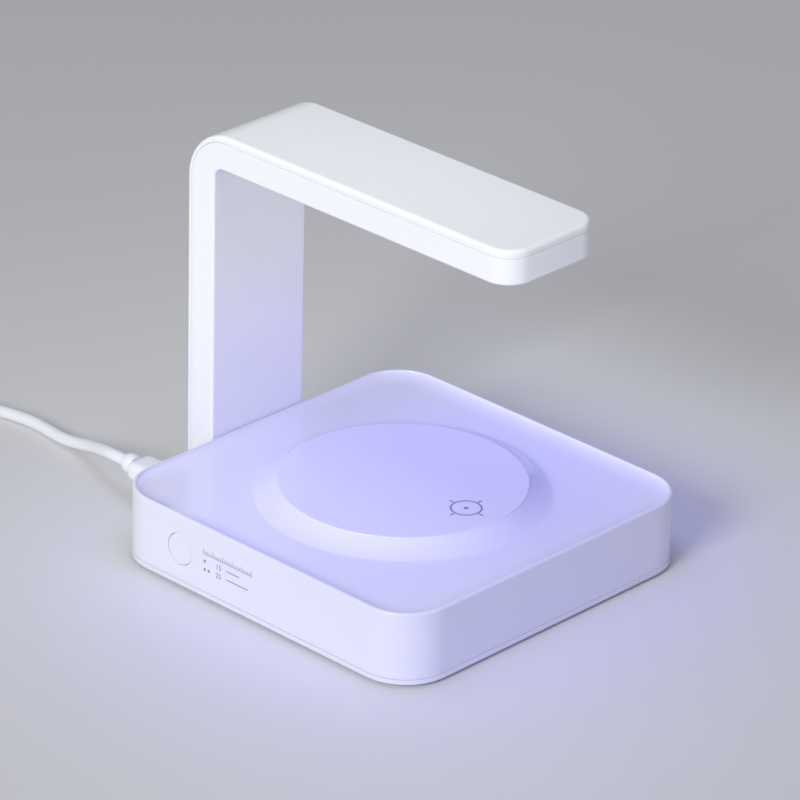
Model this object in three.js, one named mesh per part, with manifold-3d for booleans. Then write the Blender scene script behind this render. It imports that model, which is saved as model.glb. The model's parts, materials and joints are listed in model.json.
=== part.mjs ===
// A desktop ultraviolet steriliser with a wireless charging base, in millimetres, +Z up.
// +X runs from the arm's column to the free end of its lamp head, and the push button is on the -Y face.
// The origin is the middle of the footprint of base and arm, on the surface that the feet stand on.
import * as THREE from 'three';
import * as BufferGeometryUtils from 'three/addons/utils/BufferGeometryUtils.js';
import Module from 'manifold-3d';

const wasm = await Module();
wasm.setup();

// Clearances, and how far a cutting body runs past what it cuts
const seatGap = 0.3;
const tipGap = 0.15;
const overrun = 1;

// A full round end keeps this little of its straight side, so that no two of its points fall together
const roundMargin = 0.01;

// Base housing, square in plan, measured up from the underside of its bottom cover
const baseWidth = 128;
const baseHeight = 24;
const baseCorner = 16;
const baseWall = 2;
const rimRound = 0.7;
const rimFlat = 0.4;
const coveWidth = 7.5;
const coveDepth = 1.9;
const cavityRound = 1.2;

// Raised charging disc with its concave skirt, and the level dish between skirt and cove
const dishWidth = 8.4;
const skirtWidth = 7.6;
const discRise = 2.4;
const discEdge = 0.4;
const discShoulder = 3;

// Bottom cover
const coverPlate = 1.7;
const coverProud = 0.25;
const coverChamfer = 0.25;
const lipHeight = 2.5;
const lipWall = 1.5;
const ribHeight = 1.4;
const crossRibHeight = 1.1;
const ribThickness = 1.2;
const ribPitch = 24;

// Feet and the screws above them
const footRadius = 5;
const footDrop = 0.9;
const footRecess = 0.6;
const footInset = 14;
const screwPostRadius = 3.6;
const caseScrewLength = 12;

// Screws: pan heads with a cross recess
const screwHeadRadius = 2.4;
const screwHeadHeight = 1.3;
const screwShankRadius = 1.25;
const recessWidth = 0.6;
const recessDepth = 0.7;
const recessReachShare = 0.62;
const smallHeadRadius = 1.9;
const smallHeadHeight = 1;
const smallShankRadius = 0.9;
const smallScrewLength = 4.5;

// Arm: an upright column that turns forward into the lamp head
const armWidth = 40.5;
const columnThickness = 11.5;
const headThickness = 11.4;
const armHeight = 128.6;
const headReach = 135.8;
const elbowOuter = 17.2;
const elbowInner = 3.6;
const headCorner = 8.7;
const armWall = 1.8;
const bodyEdge = 0.9;
const coverDepth = 2.7;
const coverEdge = 1.4;
const coverSkin = 1.7;
const armSeam = 0.3;
const armLipDepth = 2;
const armLipWall = 1.1;

// Screws and wires between base and column
const armScrewPlace = 12;
const armScrewHeight = 12;
const armScrewLength = 8;
const armBossRadius = 3.1;
const armBossLength = 5.5;
const wireHoleRadius = 2.2;
const wireHoleHeight = 13;
const harnessRadius = 1.1;

// Lamp in the head: window, board and emitters
const windowBackMargin = 22.3;
const windowEndMargin = 18;
const windowWidth = 16;
const windowFlange = 1.6;
const windowFlangeThickness = 1;
const windowRecess = 0.4;
const lampBoardEnd = 8;
const lampBoardWidth = 14;
const lampBoardThickness = 1;
const lampPostInset = 3.5;
const lampPostRadius = 2.4;
const emitterCount = 6;
const emitterInset = 8.25;
const emitterSide = 3.5;
const emitterHeight = 0.8;
const emitterDome = 1.2;
const emitterDomeHeight = 0.5;
const emitterCrownShare = 0.7;

// Push button, its switch and the board that carries the switch
const buttonInset = 30.9;
const buttonHeight = 12.25;
const buttonHole = 5.5;
const buttonRecess = 0.1;
const buttonEdge = 0.35;
const buttonFlange = 1.2;
const buttonFlangeThickness = 1.1;
const buttonStem = 1.7;
const buttonStemLength = 1.9;
const plungerRadius = 1.5;
const plungerProud = 1.1;
const plungerLength = 2.6;
const plungerBore = 2.7;
const switchSide = 6;
const switchDepth = 3.5;
const switchBoardWidth = 14;
const switchBoardHeight = 12;
const switchBoardThickness = 1;
const railWidth = 3;
const railDepth = 3.6;
const railGrip = 1;
const railHeight = 15;

// Main board on standoffs, with its socket and components
const boardGap = 0.6;
const boardInset = 16.5;
const boardLength = 56;
const boardDepth = 33.5;
const boardThickness = 1.2;
const boardPostRadius = 2.6;
const boardPostInset = 4.5;
const portInset = 31.1;
const portHeight = 11;
const socketWidth = 9;
const socketHeight = 3.2;
const socketWall = 0.3;
const socketLength = 7.3;
const socketInset = 0.6;
const tongueWidth = 6.2;
const tongueThickness = 0.6;
const tongueLength = 4.4;
const tongueFoot = 1.4;
const chipSide = 7;
const chipHeight = 1;
const inductorSide = 7.5;
const inductorHeight = 4.2;
const capacitorLength = 7.2;
const capacitorWidth = 3.4;
const capacitorHeight = 5;
const capacitorPitch = 6;
const connectorLength = 4.5;
const connectorWidth = 6;
const connectorHeight = 4.6;

// Charging coil on its ferrite, in a carrier hung under the disc
const carrierGap = 2;
const carrierThickness = 1.5;
const carrierDrop = 3.7;
const carrierRim = 1;
const carrierPostRadius = 2.6;
const carrierPostInset = 3.5;
const carrierScrews = 3;
const ferriteInset = 4.5;
const ferriteThickness = 1.2;
const chargeWire = 0.5;
const chargePitch = 1.55;
const chargeInnerShare = 0.4;

// Charging lead: plug at the base, cable, coil of spare length and far plug
const plugTipWidth = 8.1;
const plugTipHeight = 2.3;
const plugTipWall = 0.55;
const plugTipLength = 6.4;
const plugWidth = 10.4;
const plugHeight = 6.6;
const plugCorner = 2.4;
const plugLength = 20.5;
const plugStandOff = 0.8;
const plugRound = 1.6;
const collarRadius = 3.3;
const collarLength = 4.6;
const collarShares = { radius: [0.9, 1, 1, 0.93, 0.76], along: [0, 0.25, 0.5, 0.75, 1] };
const cableRadius = 2;
const coilCentreX = -186;
const coilTurns = 6.5;
const coilPitch = 4.5;
const coilMeanRadius = 21.45;
const tieThickness = 0.5;
const tieWidth = 6;
const farPlugWidth = 15.6;
const farPlugHeight = 8;
const farPlugCorner = 2;
const farPlugLength = 24;
const farPlugTaper = 4.5;
const farPlugNeck = 3;
const farPlugNeckCorner = 2.7;
const farShellWidth = 12;
const farShellHeight = 4.5;
const farShellWall = 0.4;
const farShellLength = 11.8;
const farTongueThickness = 1.8;
const tailLength = 20;

// Fineness of the round shapes
const cornerSteps = 7;
const roundSides = 20;
const smallSides = 10;
const discSides = 56;
const buttonSides = 28;
const elbowSteps = 9;
const filletSteps = 3;
const coveSteps = 4;
const skirtSteps = 6;
const coilSteps = 24;
const cableSides = 8;
const coilSides = 6;
const wireSides = 4;
const routeSteps = 44;
const tailSteps = 10;

// Places worked out from the sizes above
const quarter = Math.PI / 2;
const floorLevel = -footDrop;
const baseHalf = baseWidth / 2;
const dishLevel = baseHeight - coveDepth;
const discLevel = baseHeight + discRise;
const ceiling = dishLevel - baseWall;
const discCeiling = discLevel - baseWall;
const shellFoot = coverPlate + seatGap;
const innerHalf = baseHalf - baseWall;
const discRadius = baseHalf - rimRound - rimFlat - coveWidth - dishWidth - skirtWidth - discEdge;
const discPocketRadius = discRadius - discShoulder;
const carrierRadius = discPocketRadius - carrierGap;
const carrierPostPlace = carrierRadius - carrierPostInset;
const ferriteRadius = carrierPostPlace - ferriteInset;
const chargeInner = ferriteRadius * chargeInnerShare;
const chargeTurns = Math.round((ferriteRadius - chargeInner) / chargePitch) - 1;
const footPlace = baseHalf - footInset;
const buttonPlace = buttonInset - baseHalf;
const portPlace = portInset - baseHalf;
const boardLeft = boardGap - innerHalf;
const boardFront = boardInset - innerHalf;
const columnFront = -baseHalf - seatGap;
const columnBack = columnFront - columnThickness;
const headEnd = columnBack + headReach;
const headUnder = armHeight - headThickness;
const windowStart = columnFront + windowBackMargin;
const windowEnd = headEnd - windowEndMargin;
const windowLength = windowEnd - windowStart;
const lampCentre = (windowStart + windowEnd) / 2;
const lampBoardLength = windowLength + 2 * lampBoardEnd;
const lampPosts = [-1, 1].map((side) => lampCentre + side * (lampBoardLength / 2 - lampPostInset));
const emitterPitch = (windowLength - 2 * emitterInset) / (emitterCount - 1);
const boardUnder = portHeight - socketHeight / 2 - seatGap - boardThickness;
const boardTop = boardUnder + boardThickness;

// Bodies become solids for joining and cutting, with positions alone and shared vertices merged
function toSolid(geometry) {
  const bare = geometry.clone();
  bare.deleteAttribute('normal');
  bare.deleteAttribute('uv');
  const merged = BufferGeometryUtils.mergeVertices(bare);
  return new wasm.Manifold(new wasm.Mesh({
    numProp: 3,
    vertProperties: new Float32Array(merged.attributes.position.array),
    triVerts: new Uint32Array(merged.index.array),
  }));
}

function toGeometry(solid) {
  const mesh = solid.getMesh();
  const geometry = new THREE.BufferGeometry();
  geometry.setAttribute('position', new THREE.BufferAttribute(mesh.vertProperties, 3));
  geometry.setIndex(new THREE.BufferAttribute(mesh.triVerts, 1));
  return geometry;
}

function join(...bodies) {
  return toGeometry(bodies.map(toSolid).reduce((whole, next) => whole.add(next)));
}

function cut(body, ...tools) {
  return toGeometry(tools.map(toSolid).reduce((rest, tool) => rest.subtract(tool), toSolid(body)));
}

// The points of a rectangle with round corners, anticlockwise
function roundedOutline(width, depth, radius, steps = cornerSteps) {
  const corners = [[1, 1], [-1, 1], [-1, -1], [1, -1]];
  return corners.flatMap(([sideX, sideY], corner) => Array.from({ length: steps + 1 }, (_, step) => {
    const angle = (corner + step / steps) * quarter;
    return new THREE.Vector2(
      sideX * (width / 2 - radius) + radius * Math.cos(angle),
      sideY * (depth / 2 - radius) + radius * Math.sin(angle),
    );
  }));
}

// An outline pushed straight up from one height to another
function prism(points, bottom, top) {
  const shape = new THREE.Shape(points);
  const body = new THREE.ExtrudeGeometry(shape, { depth: top - bottom, bevelEnabled: false });
  return body.translate(0, 0, bottom);
}

// A box between its lowest and highest corners
function block(low, high) {
  const size = high.map((value, axis) => value - low[axis]);
  const middle = high.map((value, axis) => (value + low[axis]) / 2);
  return new THREE.BoxGeometry(...size).translate(...middle);
}

// A round bar along x, y or z between two places on that axis; centre holds its other two places in order
function rod(axis, radius, from, to, centre, sides = roundSides) {
  const bar = new THREE.CylinderGeometry(radius, radius, to - from, sides);
  const middle = (from + to) / 2;
  if (axis === 'x') return bar.rotateZ(quarter).translate(middle, ...centre);
  if (axis === 'y') return bar.translate(centre[0], middle, centre[1]);
  return bar.rotateX(quarter).translate(...centre, middle);
}

// A profile of [radius, height] pairs turned about Z
function turned(profile, sides = roundSides) {
  const points = profile.map(([radius, height]) => new THREE.Vector2(radius, height));
  return new THREE.LatheGeometry(points, sides).rotateX(quarter);
}

// A closed skin through rings of equal point counts, anticlockwise seen from the last ring's side
function loft(rings, capTriangles = fanTriangles) {
  const count = rings[0].length;
  const index = [];
  rings.slice(1).forEach((_, level) => {
    for (let point = 0; point < count; point += 1) {
      const next = (point + 1) % count;
      const low = level * count;
      const high = low + count;
      index.push(low + point, low + next, high + next, low + point, high + next, high + point);
    }
  });
  const last = (rings.length - 1) * count;
  capTriangles(count).forEach(([a, b, c]) => {
    index.push(a, c, b, last + a, last + b, last + c);
  });
  const geometry = new THREE.BufferGeometry();
  const positions = rings.flat().flatMap((point) => [point.x, point.y, point.z]);
  geometry.setAttribute('position', new THREE.Float32BufferAttribute(positions, 3));
  geometry.setIndex(index);
  return geometry;
}

// Two ways to close a ring: a fan for a convex one, a ladder for one with a left and a right side
function fanTriangles(count) {
  return Array.from({ length: count - 2 }, (_, step) => [0, step + 1, step + 2]);
}

function ladderTriangles(count) {
  return Array.from({ length: count / 2 - 1 }, (_, step) => [
    [step, step + 1, count - step - 2],
    [step, count - step - 2, count - step - 1],
  ]).flat();
}

// Quarter-round steps: how far in and how far along from the start of a fillet
function filletSharesOf(steps) {
  return Array.from({ length: steps + 1 }, (_, step) => {
    const angle = (step / steps) * quarter;
    return { inShare: 1 - Math.cos(angle), alongShare: Math.sin(angle) };
  });
}

// A ring round the base at a distance in from its walls
function baseRing(inset, height) {
  return roundedOutline(baseWidth - 2 * inset, baseWidth - 2 * inset, baseCorner - inset)
    .map((point) => new THREE.Vector3(point.x, point.y, height));
}

function tube(curve, radius, steps, sides) {
  const section = new THREE.Shape(Array.from({ length: sides }, (_, side) => {
    const angle = ((side + 1 / 2) / sides) * 4 * quarter;
    return new THREE.Vector2(radius * Math.cos(angle), radius * Math.sin(angle));
  }));
  return new THREE.ExtrudeGeometry(section, { steps, extrudePath: curve, bevelEnabled: false });
}

// A smooth curve through points, fine enough in its own length table for many turns
function smoothCurve(points) {
  const curve = new THREE.CatmullRomCurve3(points, false, 'centripetal');
  curve.arcLengthDivisions = points.length * cornerSteps;
  return curve;
}

// The least space between a wound tube's surface and itself, between stretches over half a turn apart
function leastGap(curve, radius, turnLength) {
  const length = curve.getLength();
  const spots = curve.getSpacedPoints(Math.round(length / radius));
  const apart = Math.round(turnLength / 2 / (length / (spots.length - 1)));
  let least = Infinity;
  spots.forEach((spot, place) => {
    for (let other = place + apart; other < spots.length; other += 1) {
      least = Math.min(least, spot.distanceTo(spots[other]));
    }
  });
  return least - 2 * radius;
}

// Looks of the materials
function finish(color, roughness, metalness = 0) {
  return new THREE.MeshStandardMaterial({ color, roughness, metalness });
}
const materials = {
  housing: finish(0xf4f4f8, 0.25),
  button: finish(0xf6f6fa, 0.3),
  window: finish(0xe4defa, 0.15),
  rubber: finish(0xd9d9dc, 0.8),
  board: finish(0x1f5a3a, 0.5),
  lampBoard: finish(0xf0f0ee, 0.5),
  emitter: finish(0xf0c84a, 0.3),
  black: finish(0x202022, 0.5),
  metal: finish(0xc9cbd0, 0.3, 1),
  copper: finish(0xb8703c, 0.35, 1),
  ferrite: finish(0x3b3b40, 0.7),
  cream: finish(0xefe9d8, 0.5),
  cable: finish(0xf3f3f6, 0.45),
  capacitor: finish(0xc98a3c, 0.4),
};

// The product stands with its feet on the ground, the middle of base and arm over the origin
const product = new THREE.Group();
const model = new THREE.Group();
model.position.set((-columnBack - coverProud - baseHalf) / 2, 0, footDrop);
product.add(model);

function place(name, geometry, material) {
  const mesh = new THREE.Mesh(geometry, material);
  mesh.name = name;
  model.add(mesh);
  return mesh;
}

// A pan-head screw along +Z with its head's seat at the origin and its cross recess below
function screw(headRadius, headHeight, shankRadius, length) {
  const rounding = headHeight / 2;
  const body = turned([
    [0, -headHeight],
    [headRadius - rounding, -headHeight],
    [headRadius, -headHeight + rounding],
    [headRadius, 0],
    [shankRadius, 0],
    [shankRadius, length - shankRadius],
    [shankRadius / 2, length],
    [0, length],
  ], smallSides);
  const arm = headRadius * recessReachShare;
  const low = -headHeight - overrun;
  const high = -headHeight + recessDepth;
  return cut(
    body,
    block([-arm, -recessWidth / 2, low], [arm, recessWidth / 2, high]),
    block([-recessWidth / 2, -arm, low], [recessWidth / 2, arm, high]),
  );
}
const caseScrew = screw(screwHeadRadius, screwHeadHeight, screwShankRadius, caseScrewLength);
const armScrew = screw(screwHeadRadius, screwHeadHeight, screwShankRadius, armScrewLength);
const smallScrew = screw(smallHeadRadius, smallHeadHeight, smallShankRadius, smallScrewLength);

// Places that repeat: the four feet, the carrier's screws and the emitters
const footPlaces = {
  front_left: [-footPlace, -footPlace],
  front_right: [footPlace, -footPlace],
  rear_left: [-footPlace, footPlace],
  rear_right: [footPlace, footPlace],
};
const carrierPlaces = Array.from({ length: carrierScrews }, (_, number) => {
  const angle = quarter + (number / carrierScrews) * 4 * quarter;
  return [carrierPostPlace * Math.cos(angle), carrierPostPlace * Math.sin(angle)];
});
const boardPosts = [
  [boardLeft + boardPostInset, boardFront + boardPostInset],
  [boardLeft + boardPostInset, boardFront + boardDepth - boardPostInset],
  [boardLeft + boardLength - boardPostInset, boardFront + boardPostInset],
  [boardLeft + boardLength - boardPostInset, boardFront + boardDepth - boardPostInset],
];

// Heights in the screw stack above each foot, and in the carrier's stack under the disc
const footTop = footRecess - seatGap;
const caseHeadSeat = footRecess + screwHeadHeight + seatGap;
const coverBossTop = caseHeadSeat + seatGap + coverPlate;
const casePostFoot = coverBossTop + seatGap;
const casePilotTop = caseHeadSeat + caseScrewLength + overrun;
const caseBore = screwShankRadius + seatGap;
const smallBore = smallShankRadius + seatGap;
const carrierTop = discCeiling - carrierDrop;
const carrierUnder = carrierTop - carrierThickness;

function portOutline(grow) {
  const width = socketWidth + 2 * grow;
  const height = socketHeight + 2 * grow;
  return roundedOutline(width, height, height / 2 - roundMargin);
}

// An outline in the YZ plane pushed along X; its first axis becomes Y and its second Z
function alongX(points, from, to, centre) {
  const body = prism(points, from, to);
  return body.rotateY(quarter).rotateX(quarter).translate(0, ...centre);
}

function baseShell() {
  const rim = filletSharesOf(filletSteps);
  const cove = filletSharesOf(coveSteps);
  const coveStart = rimRound + rimFlat;
  const outer = loft([
    baseRing(0, shellFoot),
    ...rim.map(({ inShare, alongShare }) => (
      baseRing(rimRound * inShare, baseHeight - rimRound + rimRound * alongShare))),
    ...cove.map(({ inShare, alongShare }) => (
      baseRing(coveStart + coveWidth * inShare, baseHeight - coveDepth * alongShare))),
  ]);
  const cavity = loft([
    baseRing(baseWall, shellFoot - overrun),
    baseRing(baseWall, ceiling - cavityRound),
    baseRing(baseWall + cavityRound, ceiling),
  ]);
  // The skirt falls from the disc's edge as a parabola that ends level with the dish
  const skirt = Array.from({ length: skirtSteps + 1 }, (_, step) => {
    const share = 1 - step / skirtSteps;
    return [
      discRadius + discEdge + skirtWidth * share,
      discLevel - discEdge - (discLevel - discEdge - dishLevel) * (1 - (1 - share) ** 2),
    ];
  });
  const disc = turned([
    [0, ceiling],
    [discRadius + discEdge + skirtWidth, ceiling],
    ...skirt,
    [discRadius, discLevel],
    [0, discLevel],
  ], discSides);
  const posts = Object.values(footPlaces).map((spot) => (
    rod('z', screwPostRadius, casePostFoot, ceiling + overrun, spot)));
  const pilots = Object.values(footPlaces).map((spot) => (
    rod('z', caseBore, casePostFoot - overrun, casePilotTop, spot, smallSides)));
  const hangers = carrierPlaces.map((spot) => (
    rod('z', carrierPostRadius, carrierTop + seatGap, discCeiling + overrun, spot, smallSides)));
  const hangerPilots = carrierPlaces.map((spot) => (
    rod('z', smallBore, carrierTop, discCeiling, spot, smallSides)));
  const wallStart = -baseHalf - overrun;
  const wallEnd = -innerHalf + overrun;
  const backScrewHoles = [-armScrewPlace, armScrewPlace].map((side) => (
    rod('x', caseBore, wallStart, wallEnd, [side, armScrewHeight], smallSides)));
  const hollow = cut(
    join(outer, disc),
    cavity,
    rod('z', discPocketRadius, ceiling - overrun, discCeiling, [0, 0], discSides),
  );
  return cut(
    join(hollow, ...posts, ...hangers),
    ...pilots,
    ...hangerPilots,
    ...backScrewHoles,
    rod('x', wireHoleRadius, wallStart, wallEnd, [0, wireHoleHeight], smallSides),
    rod('y', buttonHole, wallStart, wallEnd, [buttonPlace, buttonHeight], buttonSides),
    alongX(portOutline(seatGap), wallStart, wallEnd, [portPlace, portHeight]),
  );
}

// Rails that hold the switch board by its side edges, behind the button
const switchFront = -innerHalf + buttonFlangeThickness + buttonStemLength + plungerProud + 2 * seatGap;
const switchBoardFront = switchFront + switchDepth + seatGap;
const railCentre = switchBoardFront + switchBoardThickness / 2;

function bottomCover() {
  const under = baseRing(coverChamfer - coverProud, 0);
  const plate = loft([
    under,
    baseRing(-coverProud, coverChamfer),
    baseRing(-coverProud, coverPlate),
  ]);
  const lipOuter = baseWall + seatGap;
  const lip = cut(
    loft([baseRing(lipOuter, coverPlate - ribHeight), baseRing(lipOuter, coverPlate + lipHeight)]),
    loft([baseRing(lipOuter + lipWall, 0), baseRing(lipOuter + lipWall, coverPlate + lipHeight + overrun)]),
  );
  const reach = innerHalf - seatGap - lipWall;
  const ribs = [-ribPitch, 0, ribPitch].flatMap((offset) => [
    block(
      [-reach, offset - ribThickness / 2, coverPlate - ribHeight],
      [reach, offset + ribThickness / 2, coverPlate + ribHeight],
    ),
    block(
      [offset - ribThickness / 2, -reach, coverPlate - crossRibHeight],
      [offset + ribThickness / 2, reach, coverPlate + crossRibHeight],
    ),
  ]);
  const bosses = Object.values(footPlaces).map((spot) => (
    rod('z', screwPostRadius, coverPlate / 2, coverBossTop, spot)));
  const standoffs = boardPosts.map((spot) => (
    rod('z', boardPostRadius, coverPlate / 2, boardUnder - seatGap, spot, smallSides)));
  const standoffPilots = boardPosts.map((spot) => (
    rod('z', smallBore, coverPlate, boardUnder, spot, smallSides)));
  const rails = [-1, 1].map((side) => {
    const inner = buttonPlace + side * (switchBoardWidth / 2 - railGrip);
    const outer = inner + side * railWidth;
    return block(
      [Math.min(inner, outer), railCentre - railDepth / 2, coverPlate / 2],
      [Math.max(inner, outer), railCentre + railDepth / 2, coverPlate + railHeight],
    );
  });
  const groove = block(
    [
      buttonPlace - switchBoardWidth / 2 - seatGap,
      switchBoardFront - seatGap,
      buttonHeight - switchBoardHeight / 2 - seatGap,
    ],
    [
      buttonPlace + switchBoardWidth / 2 + seatGap,
      switchBoardFront + switchBoardThickness + seatGap,
      coverPlate + railHeight + overrun,
    ],
  );
  const counterbores = Object.values(footPlaces).flatMap((spot) => [
    rod('z', footRadius + seatGap, -overrun, footRecess, spot),
    rod('z', screwHeadRadius + seatGap, 0, caseHeadSeat + seatGap, spot, smallSides),
    rod('z', caseBore, 0, coverBossTop + overrun, spot, smallSides),
  ]);
  // The rear edge steps back where the column stands against the base
  const step = block(
    [-baseHalf - overrun, -armWidth / 2 - seatGap, -overrun],
    [-baseHalf, armWidth / 2 + seatGap, coverPlate + overrun],
  );
  return cut(
    join(plate, lip, ...ribs, ...bosses, ...standoffs, ...rails),
    groove,
    ...standoffPilots,
    ...counterbores,
    step,
  );
}

function addBase() {
  place('base_shell', baseShell(), materials.housing);
  place('bottom_cover', bottomCover(), materials.housing);
  Object.entries(footPlaces).forEach(([name, [x, y]]) => {
    const foot = turned([
      [0, floorLevel],
      [footRadius - footRecess, floorLevel],
      [footRadius, floorLevel + footRecess],
      [footRadius, footTop],
      [0, footTop],
    ]);
    place(`foot_${name}`, foot.translate(x, y, 0), materials.rubber);
    place(`case_screw_${name}`, caseScrew, materials.metal).position.set(x, y, caseHeadSeat);
  });
}

// The arm is a strip bent over an elbow. Stations run along it from the column's foot to the head's free
// end; each has a point on the outer face, one on the inner face and half the strip's width.
function armStations(inset) {
  const stations = [];
  const half = armWidth / 2 - inset;
  const addStation = (outer, inner, narrowed = 0) => {
    stations.push({ outer, inner, half: half - narrowed });
  };
  addStation([columnBack, inset], [columnFront, inset]);
  for (let step = 0; step <= elbowSteps; step += 1) {
    const angle = (step / elbowSteps) * quarter;
    const back = 1 - Math.cos(angle);
    const rise = Math.sin(angle) - 1;
    addStation(
      [columnBack + elbowOuter * back, armHeight + elbowOuter * rise],
      [columnFront + elbowInner * back, headUnder + elbowInner * rise],
    );
  }
  const corner = headCorner - inset;
  for (let step = 0; step <= cornerSteps; step += 1) {
    const angle = (step / cornerSteps) * quarter;
    const along = headEnd - headCorner + corner * Math.sin(angle);
    addStation([along, armHeight], [along, headUnder], corner * (1 - Math.cos(angle)));
  }
  return stations;
}

// One closed ring round the arm: down its -Y side and back up its +Y side, at a depth below the outer face
function armRing(depth, inset) {
  const share = depth / headThickness;
  const stations = armStations(inset).map(({ outer, inner, half }) => ({
    x: outer[0] + (inner[0] - outer[0]) * share,
    z: outer[1] + (inner[1] - outer[1]) * share,
    half,
  }));
  const left = stations.map(({ x, z, half }) => new THREE.Vector3(x, -half, z));
  const right = stations.map(({ x, z, half }) => new THREE.Vector3(x, half, z));
  return [...left, ...right.reverse()];
}

// A body between depths below the outer face, from [depth, inset] pairs listed from outside to inside
function armBand(...layers) {
  const rings = layers.map(([depth, inset]) => armRing(depth, inset));
  return loft(rings.reverse(), ladderTriangles);
}

function windowPrism(grow, bottom, top) {
  const width = windowWidth + 2 * grow;
  const outline = roundedOutline(windowLength + 2 * grow, width, width / 2 - roundMargin);
  return prism(outline, bottom, top).translate(lampCentre, 0, 0);
}

const bodyTop = coverDepth + armSeam / 2;
const coverUnder = coverDepth - armSeam / 2;
const cavityFloor = headUnder + armWall;
const windowTop = cavityFloor + seatGap + windowFlangeThickness;
const emitterUnder = windowTop + seatGap;
const lampBoardUnder = emitterUnder + emitterHeight + emitterDomeHeight + seatGap;
const lampPostTop = lampBoardUnder - seatGap;

function armBody() {
  const edge = filletSharesOf(filletSteps);
  const blank = armBand(
    [bodyTop, 0],
    ...edge.map(({ inShare, alongShare }) => (
      [headThickness - bodyEdge + bodyEdge * alongShare, bodyEdge * inShare])),
  );
  const cavity = armBand([bodyTop - overrun, armWall], [headThickness - armWall, armWall]);
  const bossEnd = columnFront - armBossLength;
  const faceEnd = columnFront + overrun;
  const bosses = [-armScrewPlace, armScrewPlace].map((side) => (
    rod('x', armBossRadius, bossEnd, columnFront - armWall / 2, [side, armScrewHeight])));
  const pilots = [-armScrewPlace, armScrewPlace].map((side) => (
    rod('x', caseBore, bossEnd - overrun, faceEnd, [side, armScrewHeight], smallSides)));
  const postFoot = cavityFloor - armWall / 2;
  const posts = lampPosts.map((along) => (
    rod('z', lampPostRadius, postFoot, lampPostTop, [along, 0], smallSides)));
  const postPilots = lampPosts.map((along) => (
    rod('z', smallBore, postFoot, lampPostTop + overrun, [along, 0], smallSides)));
  return cut(
    join(cut(blank, cavity), ...bosses, ...posts),
    ...pilots,
    ...postPilots,
    rod('x', wireHoleRadius, columnFront - 2 * armWall, faceEnd, [0, wireHoleHeight], smallSides),
    windowPrism(0, headUnder - overrun, cavityFloor + overrun),
  );
}

function armCover() {
  const edge = filletSharesOf(filletSteps);
  const blank = armBand(
    ...edge.map(({ inShare, alongShare }) => [coverEdge * inShare, coverEdge * (1 - alongShare)]),
    [coverUnder, 0],
  );
  const lipOuter = armWall + seatGap;
  const lip = armBand([coverUnder - coverSkin / 2, lipOuter], [bodyTop + armLipDepth, lipOuter]);
  const lipInner = lipOuter + armLipWall;
  const hollow = armBand([coverSkin, lipInner], [bodyTop + armLipDepth + overrun, lipInner]);
  return cut(join(blank, lip), hollow);
}

// Wires from the lamp board through the elbow and down the column, then into the base to their connector
function lampHarness() {
  const middle = columnBack + (coverSkin + columnThickness - armWall) / 2;
  const high = lampBoardUnder + lampBoardThickness + seatGap + harnessRadius;
  const connectorFace = connectorY + connectorWidth + seatGap;
  const bend = elbowInner + 2 * harnessRadius;
  const side = lampBoardWidth / 2 - 2 * harnessRadius;
  return tube(smoothCurve([
    new THREE.Vector3(lampPosts[0], side, high),
    new THREE.Vector3(columnFront + 2 * bend, side, high),
    new THREE.Vector3(columnFront + bend, side / 2, high),
    new THREE.Vector3(middle + bend / 2, 0, high - bend / 2),
    new THREE.Vector3(middle, 0, high - 2 * bend),
    new THREE.Vector3(middle, 0, armHeight / 2),
    new THREE.Vector3(middle, 0, wireHoleHeight + 2 * bend),
    new THREE.Vector3(middle, 0, wireHoleHeight + bend),
    new THREE.Vector3(middle + bend / 3, 0, wireHoleHeight + bend / 4),
    new THREE.Vector3(columnFront - armWall, 0, wireHoleHeight),
    new THREE.Vector3(-innerHalf + harnessRadius, 0, wireHoleHeight),
    new THREE.Vector3(connectorX, connectorFace + bend, connectorZ + harnessRadius),
    new THREE.Vector3(connectorX, connectorFace + 2 * harnessRadius, connectorZ),
    new THREE.Vector3(connectorX, connectorFace, connectorZ),
  ]), harnessRadius, routeSteps, coilSides);
}

// Components of the main board, placed from its left and front edges
const connectorX = boardLeft + connectorLength + 2 * boardPostInset;
const connectorY = boardFront + boardDepth - connectorWidth - seatGap;
const connectorZ = boardTop + seatGap + connectorHeight / 2;
const socketFront = -baseHalf + socketInset;

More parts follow.
